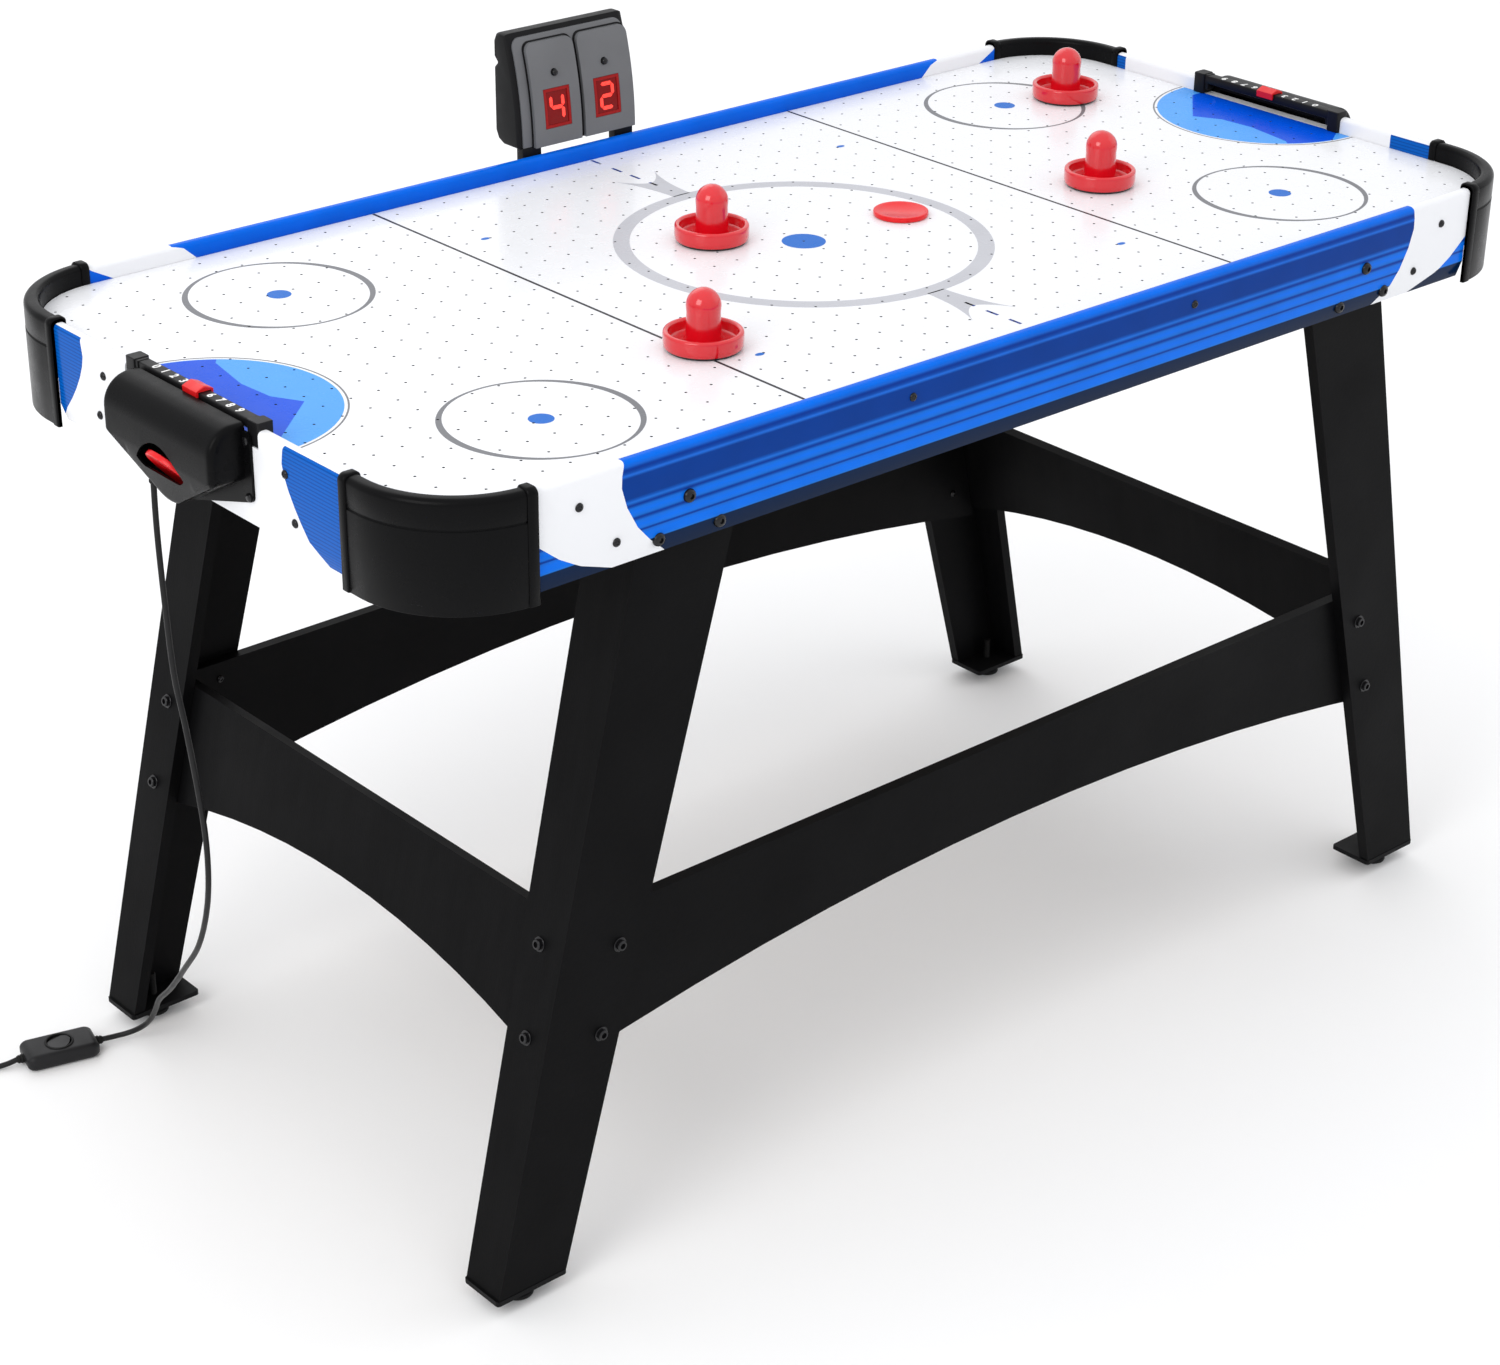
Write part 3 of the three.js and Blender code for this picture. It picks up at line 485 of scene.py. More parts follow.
def ellipse(cx, cy, rx, ry, sides=64):
    """Points of a whole ellipse, anticlockwise."""
    turns = [TAU * k / sides for k in range(sides)]
    return [(cx + rx * math.cos(a), cy + ry * math.sin(a)) for a in turns]


def bezier(a, b, c, steps=10):
    """Points of a quadratic curve from a to c, without c."""
    out = []
    for i in range(steps):
        t = i / steps
        out.append(tuple((1 - t) ** 2 * p + 2 * t * (1 - t) * q + t * t * r for p, q, r in zip(a, b, c)))
    return out


def eased_end(start, r, steps):
    """Stations that round off an end at start, as (place along, inset)."""
    angles = [math.pi / 2 * i / steps for i in range(steps + 1)]
    return [(start + r * (1 - math.cos(a)), r * (1 - math.sin(a))) for a in angles]


def round_topped(x0, x1, z0, z1, r):
    """Outline with square lower corners and rounded upper ones."""
    return [(x0, z0), (x1, z0)] + arc(x1 - r, z1 - r, r, 0, 90, 8) + arc(x0 + r, z1 - r, r, 90, 180, 8)


def round_rect(x0, y0, x1, y1, r, steps=6):
    """Outline of a rectangle whose corners are rounded to r."""
    pts = arc(x1 - r, y0 + r, r, -90, 0, steps) + arc(x1 - r, y1 - r, r, 0, 90, steps)
    return pts + arc(x0 + r, y1 - r, r, 90, 180, steps) + arc(x0 + r, y0 + r, r, 180, 270, steps)


def bar(x0, y0, x1, y1):
    """Outline of a plain rectangle."""
    return [(x0, y0), (x1, y0), (x1, y1), (x0, y1)]


def anticlockwise(loop):
    """The loop, reversed if it runs clockwise."""
    area = sum(a[0] * b[1] - b[0] * a[1] for a, b in zip(loop, loop[1:] + loop[:1]))
    return loop if area > 0 else loop[::-1]


# ---- mesh helpers ----


def finish_mesh(name, verts, faces, material, body="table", sharp=35, values=None):
    """An object from points in mm and faces, riding on a body. values: {attribute name: one per point}."""
    mesh = bpy.data.meshes.new(name)
    mesh.from_pydata([at(*v) for v in verts], [], [tuple(f) for f in faces])
    for key, numbers in (values or {}).items():
        layer = mesh.attributes.new(key, "FLOAT", "POINT")
        layer.data.foreach_set("value", numbers)
    work = bmesh.new()
    work.from_mesh(mesh)
    bmesh.ops.remove_doubles(work, verts=work.verts, dist=1e-6)
    bmesh.ops.recalc_face_normals(work, faces=work.faces)
    work.to_mesh(mesh)
    work.free()
    mesh.polygons.foreach_set("use_smooth", [True] * len(mesh.polygons))
    mesh.set_sharp_from_angle(angle=math.radians(sharp))
    mesh.materials.append(material)
    obj = add(name, mesh)
    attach(obj, body)
    return obj


def skin(loops, close=False, sheet=False):
    """Points and faces over loops of equal length, closed on itself or capped at its two ends.

    A sheet is left open between the last and first points of its loops.
    """
    n = len(loops[0])
    rows = len(loops)
    verts = [tuple(p) for loop in loops for p in loop]
    faces = []
    for i in range(rows if close else rows - 1):
        for k in range(n - 1 if sheet else n):
            a = i * n + k
            b = i * n + (k + 1) % n
            c = (i + 1) % rows * n + (k + 1) % n
            d = (i + 1) % rows * n + k
            faces.append((a, b, c, d))
    if not close:
        faces.append(tuple(range(n))[::-1])
        faces.append(tuple((rows - 1) * n + k for k in range(n)))
    return verts, faces


def solid(name, loops, material, body="table", sharp=35):
    return finish_mesh(name, *skin(loops), material, body, sharp)


def merged(name, parts, material, sharp=35):
    """One object of several (points, faces) parts."""
    verts = []
    faces = []
    for more, links in parts:
        faces += [tuple(i + len(verts) for i in f) for f in links]
        verts += more
    return finish_mesh(name, verts, faces, material, sharp=sharp)


def lathe(profile, centre, turn=None, sides=48):
    """Points and faces of a solid of revolution from (radius, height) points, turned and then moved."""
    loops = []
    for r, z in profile:
        ring = [Vector((x, y, z)) for x, y in ellipse(0, 0, r, r, sides)]
        loops.append([tuple((turn @ v if turn else v) + Vector(centre)) for v in ring])
    return skin(loops)


def turned(name, profile, centre, material, body="table", sides=48, turn=None, sharp=35):
    return finish_mesh(name, *lathe(profile, centre, turn, sides), material, body, sharp)


def facing(direction):
    """The turn that takes +Z to a direction."""
    return Vector((0, 0, 1)).rotation_difference(Vector(direction)).to_matrix()


def upright(a, b, z):
    """The placing of an outline that lies level: (a, b) in plan, z its height."""
    return (a, b, z)


def slab(outline, z0, z1, edge=0.5, place=upright):
    """Points and faces of an outline between two heights, rims chamfered. place maps (a, b, z) to mm."""
    cx = sum(p[0] for p in outline) / len(outline)
    cy = sum(p[1] for p in outline) / len(outline)
    shrink_a = 1 - edge / max(abs(p[0] - cx) for p in outline)
    shrink_b = 1 - edge / max(abs(p[1] - cy) for p in outline)
    inner = [(cx + (a - cx) * shrink_a, cy + (b - cy) * shrink_b) for a, b in outline]
    levels = [(inner, z0), (outline, z0 + edge), (outline, z1 - edge), (inner, z1)]
    return skin([[place(a, b, z) for a, b in pts] for pts, z in levels])


def perforated(name, outline, voids, z0, z1, material, place=upright, folds=()):
    """A slab with voids cut through it. Folds are lines in the outline that its surface can bend along."""
    points = []
    loops = []
    for loop in [outline, *voids]:
        loops.append(list(range(len(points), len(points) + len(loop))))
        points += [Vector(p) for p in anticlockwise(list(loop))]
    edges = []
    for a, b in folds:
        edges.append((len(points), len(points) + 1))
        points += [Vector(a), Vector(b)]
    flat, _, triangles, _, _, origins = delaunay_2d_cdt(points, edges, loops, 0, 1e-4)
    kept = [tuple(t) for t, origin in zip(triangles, origins) if list(origin) == [0]]
    n = len(flat)
    verts = [place(p.x, p.y, z1) for p in flat] + [place(p.x, p.y, z0) for p in flat]
    faces = kept + [tuple(n + i for i in reversed(t)) for t in kept]
    sides = {(t[i], t[(i + 1) % 3]) for t in kept for i in range(3)}
    faces += [(b, a, n + a, n + b) for a, b in sides if (b, a) not in sides]
    used = sorted({i for f in faces for i in f})
    number = {old: new for new, old in enumerate(used)}
    links = [[number[i] for i in f] for f in faces]
    return finish_mesh(name, [verts[i] for i in used], links, material)


def frames_along(points):
    """Each point of a path with its tangent and two cross directions, with no twist."""
    pts = [Vector(p) for p in points]
    out = []
    up = None
    for i, p in enumerate(pts):
        t = (pts[min(i + 1, len(pts) - 1)] - pts[max(i - 1, 0)]).normalized()
        if up is None:
            up = Vector((0, 0, 1)) if abs(t.z) < 0.9 else Vector((1, 0, 0))
        side = t.cross(up).normalized()
        up = side.cross(t).normalized()
        out.append((p, t, side, up))
    return out


def tube(name, points, radius, material, sides=14):
    loops = []
    for p, _, side, up in frames_along(points):
        ring = []
        for k in range(sides):
            a = TAU * k / sides
            ring.append(tuple(p + side * (radius * math.cos(a)) + up * (radius * math.sin(a))))
        loops.append(ring)
    return solid(name, loops, material)


def smooth_path(points, step):
    """Centripetal curve through points in mm, as points about step apart."""
    pts = [Vector(p) for p in points]
    pts = [2 * pts[0] - pts[1]] + pts + [2 * pts[-1] - pts[-2]]
    fine = []
    for i in range(1, len(pts) - 2):
        four = pts[i - 1:i + 3]
        t = [0.0]
        for p, q in zip(four, four[1:]):
            t.append(t[-1] + max((q - p).length, 1e-6) ** 0.5)
        for k in range(24):
            u = t[1] + (t[2] - t[1]) * k / 24
            a = [four[j].lerp(four[j + 1], (u - t[j]) / (t[j + 1] - t[j])) for j in range(3)]
            b = [a[j].lerp(a[j + 1], (u - t[j]) / (t[j + 2] - t[j])) for j in range(2)]
            fine.append(b[0].lerp(b[1], (u - t[1]) / (t[2] - t[1])))
    fine.append(pts[-2])
    out = [fine[0]]
    run = 0.0
    for a, b in zip(fine, fine[1:]):
        run += (b - a).length
        if run >= step:
            out.append(b)
            run = 0.0
    out[-1] = fine[-1]
    return out


def path_length(points):
    return sum((Vector(b) - Vector(a)).length for a, b in zip(points, points[1:]))


def bevel(obj, width, segments=3, angle=30):
    m = obj.modifiers.new("edge", "BEVEL")
    m.width = width / 1000
    m.segments = segments
    m.limit_method = "ANGLE"
    m.angle_limit = math.radians(angle)
    return obj


def bake(obj):
    """Applies an object's modifiers to its mesh."""
    graph = bpy.context.evaluated_depsgraph_get()
    graph.update()
    made = bpy.data.meshes.new_from_object(obj.evaluated_get(graph))
    obj.modifiers.clear()
    obj.data = made
    made.set_sharp_from_angle(angle=math.radians(40))


def carve(obj, name, void):
    """Cuts a closed (points, faces) shape out of an object, after the modifiers it already has."""
    cutter = finish_mesh(f"{name}_cutter", *void, obj.data.materials[0])
    cut = obj.modifiers.new(name, "BOOLEAN")
    cut.operation = "DIFFERENCE"
    cut.object = cutter
    bake(obj)
    bpy.data.objects.remove(cutter)


def dress(node, material, width=0):
    """Gives a CAD node its material and, where it has edges to soften, a bevel."""
    obj = NODES[node]
    obj.data.materials.clear()
    obj.data.materials.append(material)
    if width:
        bevel(obj, width, 2)
    return obj


def second_material(obj, material, wanted):
    """Gives the faces that wanted picks by their direction a second material."""
    obj.data.materials.append(material)
    for face in obj.data.polygons:
        if wanted(face.normal):
            face.material_index = 1


SIDES = {"left": -1, "right": 1}
DEPTHS = {"front": -1, "rear": 1}
QUARTERS = [(-1, -1), (-1, 1), (1, -1), (1, 1)]


def corners():
    """The four corners as (name, side sign, depth sign)."""
    return [(f"{d}_{s}", sx, sy) for d, sy in DEPTHS.items() for s, sx in SIDES.items()]


# ---- camera ----
CAMERA_AT = (-1.99251, -2.17643 - CENTRE_Y / 1000, 1.79685)
# The view's directions to the right, down and ahead.
CAMERA_ROWS = (
    (0.75196904, -0.65909801, 0.01150598),
    (-0.29065062, -0.34717034, -0.89162490),
    (0.59166273, 0.66713010, -0.45262859),
)
LENS = 76.49


def place_camera():
    data = bpy.data.cameras.new("camera")
    data.sensor_width = 36
    data.lens = LENS
    data.clip_end = 50
    camera = add("camera", data)
    right, down, ahead = (Vector(r) for r in CAMERA_ROWS)
    turn = Matrix((right, -down, -ahead)).transposed().to_4x4()
    camera.matrix_world = Matrix.Translation(CAMERA_AT) @ turn
    bpy.context.scene.camera = camera


place_camera()

# ---- power cord ----
# Down from the strain relief, slackening into a bow that meets the floor beside the rear left foot.
CORD_UPPER = [
    (-706, 51, 702.7), (-707, 50, 676), (-709, 46, 646), (-711, 39, 589), (-712, 31, 525), (-712, 18, 478),
    (-711, 6, 414), (-710, 2, 374), (-708, 6, 330), (-703, 22, 286), (-695, 54, 232), (-684, 103, 178),
    (-670, 158, 123), (-657, 205, 82), (-649, 228, 56), (-645.5, 243, 38), (-645.5, 255, 24.5),
    (-649.5, 264.5, 15.5), (-657, 272, 10), (-667, 277.6, 7.8), (-681.5, 282.1, 7.5),
]
# From the switch along the floor to the coil.
CORD_LOWER = [
    (-766.4, 304.9, 7.5), (-776, 307.5, 5.2), (-788, 313, 3.2), (-800, 320.7, 3), (-811.5, 330.3, 3),
    (-823, 341, 3), (-835.5, 350.8, 3),
]
# The coil's turns in the order they are laid, as (radius, height of the cord's middle).
COIL_TURNS = [(35.5, 3), (29.8, 3), (24.1, 3), (27, 7.9), (32.7, 7.9)]
COIL_EASE = 0.14
COIL_STEPS = 40
COIL_TO_PLUG = [(-847, 359.3, 8.6), (-856, 359.4, 10.6), (-863, 359.5, 12)]


def coil_path():
    """Clockwise turns from where the cord arrives to the lowest-y side, where it leaves for the plug."""
    start_x, start_y, start_z = CORD_LOWER[-1]
    dx = start_x - COIL_AT[0]
    dy = start_y - COIL_AT[1]
    start = math.atan2(dy, dx)
    last = -math.pi / 2 - TAU * len(COIL_TURNS)
    before = (math.hypot(dx, dy), start_z)
    steps = COIL_STEPS * len(COIL_TURNS)
    out = []
    for i in range(1, steps + 1):
        turns = len(COIL_TURNS) * i / steps
        row = min(int(turns), len(COIL_TURNS) - 1)
        held = COIL_TURNS[row]
        past = COIL_TURNS[row - 1] if row else before
        f = min(1, (turns - row) / COIL_EASE)
        f = f * f * (3 - 2 * f)
        radius = past[0] + (held[0] - past[0]) * f
        height = past[1] + (held[1] - past[1]) * f
        a = start + (last - start) * i / steps
        out.append((COIL_AT[0] + radius * math.cos(a), COIL_AT[1] + radius * math.sin(a), height))
    return out


def laid(origin, degrees):
    """Maps a piece's own mm, X along it, to where it lies on the floor."""
    turn = Matrix.Rotation(math.radians(degrees), 3, "Z")
    return lambda x, y, z: tuple(turn @ Vector((x, y, z)) + Vector(origin))


def ribbed(length, r0, r1, ribs):
    """Profile of a flexible sleeve that tapers from r0 to r1, grooved round its length."""
    out = [(0, 0), (r0, 0)]
    pitch = length / (ribs + 1)
    for i in range(ribs):
        z = pitch * (i + 0.5)
        r = r0 + (r1 - r0) * z / length
        out += [(r, z), (r - 0.6, z + pitch * 0.2), (r - 0.6, z + pitch * 0.4), (r - 0.1, z + pitch * 0.6)]
    return out + [(r1, length - 0.6), (r1 - 0.5, length), (0, length)]


def build_relief():
    profile = [(0, 703), (3.3, 703)]
    for i in range(5):
        z = 705.5 + 4.4 * i
        r = 3.9 + 0.27 * i
        profile += [(r, z - 1.5), (r, z + 0.6), (r - 0.6, z + 1.1), (r - 0.6, z + 2.1)]
    profile += [(6.4, 727.2), (6.6, 728), (6.6, 729.5), (5, 730), (5, 732), (0, 732)]
    relief = turned("power_cord_relief", profile, RELIEF_AT, M_RUBBER, sides=24)
    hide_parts("cord_relief")
    return relief


def rounded_body(name, place, length, width, tall, r):
    """A lying box of switch plastic, X along it, its plan and its section both rounded."""
    loops = []
    spots = eased_end(-length / 2, r, 7)
    spots += [(-x, shrink) for x, shrink in reversed(spots)]
    for x, shrink in spots:
        cut = shrink * 0.75
        section = round_rect(-width / 2 + cut, cut, width / 2 - cut, tall - cut, max(0.6, r * 0.7 - cut), 5)
        loops.append([place(x, y, z) for y, z in section])
    return solid(name, loops, M_SWITCH)


def switch_shell(place):
    """The switch's body with a round well for its rocker."""
    body = rounded_body("inline_switch", place, SWITCH_LONG, SWITCH_WIDE, SWITCH_TALL, 9)
    z0 = SWITCH_TALL - WELL_DEEP
    z1 = SWITCH_TALL + 2
    carve(body, "well", lathe([(0, z0), (WELL_R, z0), (WELL_R, z1), (0, z1)], SWITCH_AT))
    return body


def switch_bezel():
    """Points and faces of the raised ring round the rocker."""
    r = WELL_R
    z = SWITCH_TALL
    section = [(r, z - 3), (r, z + 0.7), (r + 0.5, z + 1.2), (r + 1.7, z + 1.2), (r + 2.4, z + 0.5)]
    section.append((r + 2.4, z - 3))
    cx, cy, _ = SWITCH_AT
    loops = []
    for k in range(48):
        a = TAU * k / 48
        loops.append([(cx + d * math.cos(a), cy + d * math.sin(a), h) for d, h in section])
    return skin(loops, close=True)


def rocker_loops(place):
    """Rings over a round rocker whose top is dished between its two ends."""
    tilt = Matrix.Rotation(math.radians(ROCKER_TILT), 3, "Y")
    rings = [(ROCKER_R - 0.4, None), (ROCKER_R, None)]
    rings += [(ROCKER_R, 0.5), (ROCKER_R - 0.4, 0), (8, 0), (4.5, 0), (1.5, 0), (0.2, 0)]
    loops = []
    for i, (r, drop) in enumerate(rings):
        loop = []
        for k in range(48):
            x = r * math.cos(TAU * k / 48)
            y = r * math.sin(TAU * k / 48)
            z = -2.2 + 0.4 * i if drop is None else 2.9 + 1.5 * (x / ROCKER_R) ** 2 - drop
            spot = tilt @ Vector((x, y, z))
            loop.append(place(spot.x, spot.y, spot.z + SWITCH_TALL - ROCKER_PIVOT))
        loops.append(loop)
    return loops


def build_switch():
    place = laid(SWITCH_AT, SWITCH_TURN)
    body = switch_shell(place)
    parts = [switch_bezel()]
    for s in (-1, 1):
        out = Vector(place(s, 0, 0)) - Vector(place(0, 0, 0))
        sleeve = ribbed(8.5, 5.4, 3.6, 2)
        parts.append(lathe(sleeve, place(s * (SWITCH_LONG / 2 - 1.5), 0, SLEEVE_Z), facing(out), 24))
    trim = merged("inline_switch_trim", parts, M_RUBBER)
    rocker = solid("inline_switch_rocker", rocker_loops(place), M_BOLT, "rocker")
    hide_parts("switch_body")
    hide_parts("switch_rocker")
    return body, trim, rocker


def build_plug():
    place = laid(PLUG_AT, 180)

    def from_end(x, y, z):
        return place(x + PLUG_LONG / 2, y, z + 0.2)

    def ahead(a, b, z):
        return place(z, a, b)

    body = rounded_body("plug_body", from_end, PLUG_LONG, PLUG_WIDE, PLUG_TALL, 7)
    turn = facing(Vector(place(-1, 0, 0)) - Vector(place(0, 0, 0)))
    sleeve = merged("plug_sleeve", [lathe(ribbed(14, 5.5, 3.6, 4), place(0.5, 0, PLUG_CORD_Z), turn, 24)],
                    M_RUBBER)
    blades = [round_rect(y - 0.8, PIN_Z - 3.25, y + 0.8, PIN_Z + 3.25, 0.5, 2) for y in (-PIN_Y, PIN_Y)]
    root = PLUG_LONG - 2
    parts = [slab(blade, root, root + PIN_LONG, 0.3, ahead) for blade in blades]
    pins = merged("plug_pins", parts, M_BRASS)
    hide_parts("plug")
    return body, sleeve, pins


def build_cord():
    relief = build_relief()
    switch = build_switch()
    plug = build_plug()
    upper_path = smooth_path(CORD_UPPER, 6)
    upper = tube("power_cord_upper", upper_path, CORD_R, M_CORD)
    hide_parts("cord_upper")
    turns = coil_path()
    lower_path = smooth_path(CORD_LOWER, 4) + [Vector(p) for p in turns]
    lower_path += smooth_path([turns[-1], *COIL_TO_PLUG], 4)[1:]
    lower = tube("power_cord_lower", lower_path, CORD_R, M_CORD, sides=12)
    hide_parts("cord_lower", "cord_coil")
    tuple(at(*CORD_UPPER[0]))
    path_length(upper_path) / 1000
    [tuple(at(*p)) for p in upper_path]
    tuple(at(*CORD_LOWER[0]))
    path_length(lower_path) / 1000
    [tuple(at(*p)) for p in lower_path]
    list(plug)


build_cord()

# ---- playing field ----


def air_holes(x0, y0, x1, y1):
    """Outlines of the air holes that touch a rectangle."""
    out = []
    for i in range(-HOLES_X, HOLES_X + 1):
        for j in range(-HOLES_Y, HOLES_Y + 1):
            x = i * HOLE_PITCH
            y = j * HOLE_PITCH
            inside = x0 - HOLE_R < x < x1 + HOLE_R and y0 - HOLE_R < y < y1 + HOLE_R
            in_corner = math.hypot(max(0, abs(x) - ARC_X), max(0, abs(y) - ARC_Y)) > CORNER_R - 6
            if inside and not in_corner:
                out.append(ellipse(x, y, HOLE_R, HOLE_R, 8))
    return out


def print_ink(name, outline, material, voids=(), level=1):
    """A thin shape on the playing surface, open where the air holes are: print, and the painted reflection
    by each goal.
    """
    xs = [p[0] for p in outline]
    ys = [p[1] for p in outline]
    holes = air_holes(min(xs), min(ys), max(xs), max(ys))
    z0 = FIELD_TOP + 0.02
    return perforated(name, outline, [*voids, *holes], z0, z0 + INK * level, material)


def build_field():
    x = FIELD_X - 0.3
    y = FIELD_Y - 0.3
    outline = round_rect(-x, -y, x, y, CORNER_R - 0.3, 16)
    field = perforated("field", outline, air_holes(-x, -y, x, y), FIELD_BOTTOM, FIELD_TOP, M_FIELD)
    # The air holes' walls, and the field's outer edge, get the painted hole shade.
    second_material(field, M_HOLE_SHADE, lambda normal: abs(normal.z) < 0.5)
    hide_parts("playfield")


# print on the playing surface
CENTRE_RING = (185, 169)
CENTRE_SPOT_R = 21.5
DASHES = [(222, 234.5), (250, 265), (279.5, 294.5), (316, 329)]
LINE_HALF = 1.5
ZONE_LINE_X = 275
MARK_AT = (234, 201)
FACE_OFF_AT = (475, 196.5)
FACE_OFF_R = 88.7
CREASE_R = 118


def build_centre_print():
    outer, inner = (ellipse(0, 0, r, r, 96) for r in CENTRE_RING)
    print_ink("ink_centre_ring", outer, M_INK_GREY, [inner])
    print_ink("ink_centre_spot", ellipse(0, 0, CENTRE_SPOT_R, CENTRE_SPOT_R, 48), M_INK_BLUE)
    for i, (y0, y1) in enumerate(DASHES):
        for s in (-1, 1):
            low, high = sorted((s * y0, s * y1))
            print_ink(f"ink_dash_{i}_{s}", bar(-LINE_HALF, low, LINE_HALF, high), M_INK_NAVY)
    for s in (-1, 1):
        claw = bezier((10.5, 183), (12, 235), (33, 270)) + bezier((33, 270), (16, 236), (0, 232))
        claw += bezier((0, 232), (-16, 236), (-33, 270)) + bezier((-33, 270), (-12, 235), (-10.5, 183))
        claw.append((-10.5, 183))
        print_ink(f"ink_claw_{s}", [(a, s * b) for a, b in claw], M_INK_GREY)
    for sx in (-1, 1):
        for sy in (-1, 1):
            mark = ellipse(sx * MARK_AT[0], sy * MARK_AT[1], 5, 3, 24)
            print_ink(f"ink_mark_{sx}_{sy}", mark, M_INK_BLUE)
        x = sx * ZONE_LINE_X
        print_ink(f"ink_line_{sx}", bar(x - LINE_HALF, 1 - FIELD_Y, x + LINE_HALF, FIELD_Y - 1), M_INK_DARK)


def build_face_off_prints():
    """Rings whose band is wider at the two ends that face the goals."""
    for sx, sy in QUARTERS:
        cx = sx * FACE_OFF_AT[0]
        cy = sy * FACE_OFF_AT[1]
        name = f"ink_face_off_{sx}_{sy}"
        wide = [ellipse(cx, cy, 82, 86.2, 96)]
        print_ink(name, ellipse(cx, cy, FACE_OFF_R, FACE_OFF_R, 96), M_INK_MID, wide)
        print_ink(f"{name}_spot", ellipse(cx, cy, 11.4, 11.4, 36), M_INK_BLUE)


def build_crease(s):
    """The half disc in front of a goal, its thin outer line, and a dark blue shape next to the mouth: a
    painted reflection of the goal in the glossy field.
    """
    reach = FIELD_X - 1

    def turn(points):
        return [(s * a, s * b) for a, b in points]

    half = arc(reach, 0, CREASE_R, 90, 270, 48)
    print_ink(f"ink_crease_{s}", turn(half), M_INK_SKY)
    line = arc(reach, 0, CREASE_R + 4.5, 90, 270, 48) + arc(reach, 0, CREASE_R + 2.8, 270, 90, 48)
    print_ink(f"ink_crease_line_{s}", turn(line), M_INK_MID)
    # A painted reflection of the goal on the field, laid like print.
    painted_goal_reflection = [(reach, 92), (666, 92), (606, 38), (622, 10), (625, -30), (615, -86)]
    painted_goal_reflection += arc(reach, 0, CREASE_R - 1, 232, 258, 10) + [(reach, -100)]
    print_ink(f"crease_painted_reflection_{s}", turn(painted_goal_reflection), M_PAINTED_GOAL_REFLECTION, level=1.6)


build_field()
build_centre_print()
build_face_off_prints()
for side in (-1, 1):
    build_crease(side)

# ---- rails ----


def rail_section():
    """Points round a rail as (out from the inner face, height, place round the print)."""
    r = RAIL_EDGE_R
    out = [(RAIL_THICK - RAIL_BEVEL_IN, RAIL_BOTTOM, RAIL_BOTTOM), (RAIL_THICK, RAIL_BEVEL_Z, RAIL_BEVEL_Z)]
    u = RAIL_TOP - r
    for a, z in arc(RAIL_THICK - r, RAIL_TOP - r, r, 0, 90, 6):
        out.append((a, z, u))
        u += r * math.pi / 12
    u += RAIL_THICK - 2 * r - r * math.pi / 12
    for a, z in arc(r, RAIL_TOP - r, r, 90, 180, 6):
        out.append((a, z, u))
        u += r * math.pi / 12
    return out + [(0, 776, 824), (0, RAIL_BOTTOM, 824)]


def rail(name, stations, place, material, node):
    """A rail through stations (along, top) where the section may be cut down to a lower top."""
    section = rail_section()
    loops = [[place(along, a, min(z, top)) for a, z, _ in section] for along, top in stations]
    verts, faces = skin(loops)
    u = [point[2] for point in section] * len(stations)
    obj = finish_mesh(name, verts, faces, material, sharp=28, values={"u": u})
    second_material(obj, M_RAW, lambda normal: normal.z < -0.9)
    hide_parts(node)


def build_rails():
    half = ARC_X - 1.3
    for depth, s in DEPTHS.items():
        rail(f"side_rail_{depth}_print_and_painted_light", [(-half, 999), (half, 999)],
             lambda x, a, z, s=s: (x, s * (FIELD_Y + a), z), M_SIDE_PRINT_AND_PAINTED_LIGHT, f"side_rail_{depth}")
    half = ARC_Y - GUARD_TAIL - 0.3
    mouth = GOAL_HALF + GOAL_POST + 0.3
    stations = [(-half, 999), (-mouth, 999), (-mouth, FIELD_TOP)]
    stations += [(-along, top) for along, top in reversed(stations)]
    for side, s in SIDES.items():
        rail(f"end_rail_{side}_print_and_painted_light", stations,
             lambda y, a, z, s=s: (s * (FIELD_X + a), y, z), M_END_PRINT, f"end_rail_{side}")


build_rails()

# ---- corner guards ----


def guard_section(proud):
    """Section of the guard's channel as (distance from the corner's centre, height)."""
    inner = CORNER_R - proud
    outer = CORNER_R + RAIL_THICK + GUARD_OUT + proud
    top = GUARD_TOP + proud
    back = CORNER_R + RAIL_THICK
    pts = [(back, GUARD_BOTTOM), (outer - 0.6, GUARD_BOTTOM), (outer, GUARD_BOTTOM + 0.8)]
    if proud:
        pts += [(outer, 771), (outer, 772), (outer, 773), (outer, 774)]
    else:
        pts += [(outer, 771.2), (outer - 1, 772), (outer - 1, 773), (outer - 0.2, 774)]
    pts += arc(outer - 6, top - 6, 6 - (0 if proud else 0.3), 0, 90, 7)
    pts += arc(inner + 5, top - 5, 5, 90, 180, 6)
    pts += [(inner, 781), (inner + 0.5, 780.5), (CORNER_R + 2.6, 780.5), (CORNER_R + 3, 781)]
    pts += [(CORNER_R + 3, top - 7), (CORNER_R + 5, top - 4), (back - 2, top - 4), (back, top - 7)]
    return pts


def guard_places(along):
    """Origin and outward direction at a distance along the guard from the long side to the end side."""
    quarter = CORNER_R * math.pi / 2
    if along < 0:
        return (ARC_X + along, ARC_Y), (0, 1)
    if along > quarter:
        return (ARC_X, ARC_Y - (along - quarter)), (1, 0)
    a = math.pi / 2 * (1 - along / quarter)
    return (ARC_X, ARC_Y), (math.cos(a), math.sin(a))


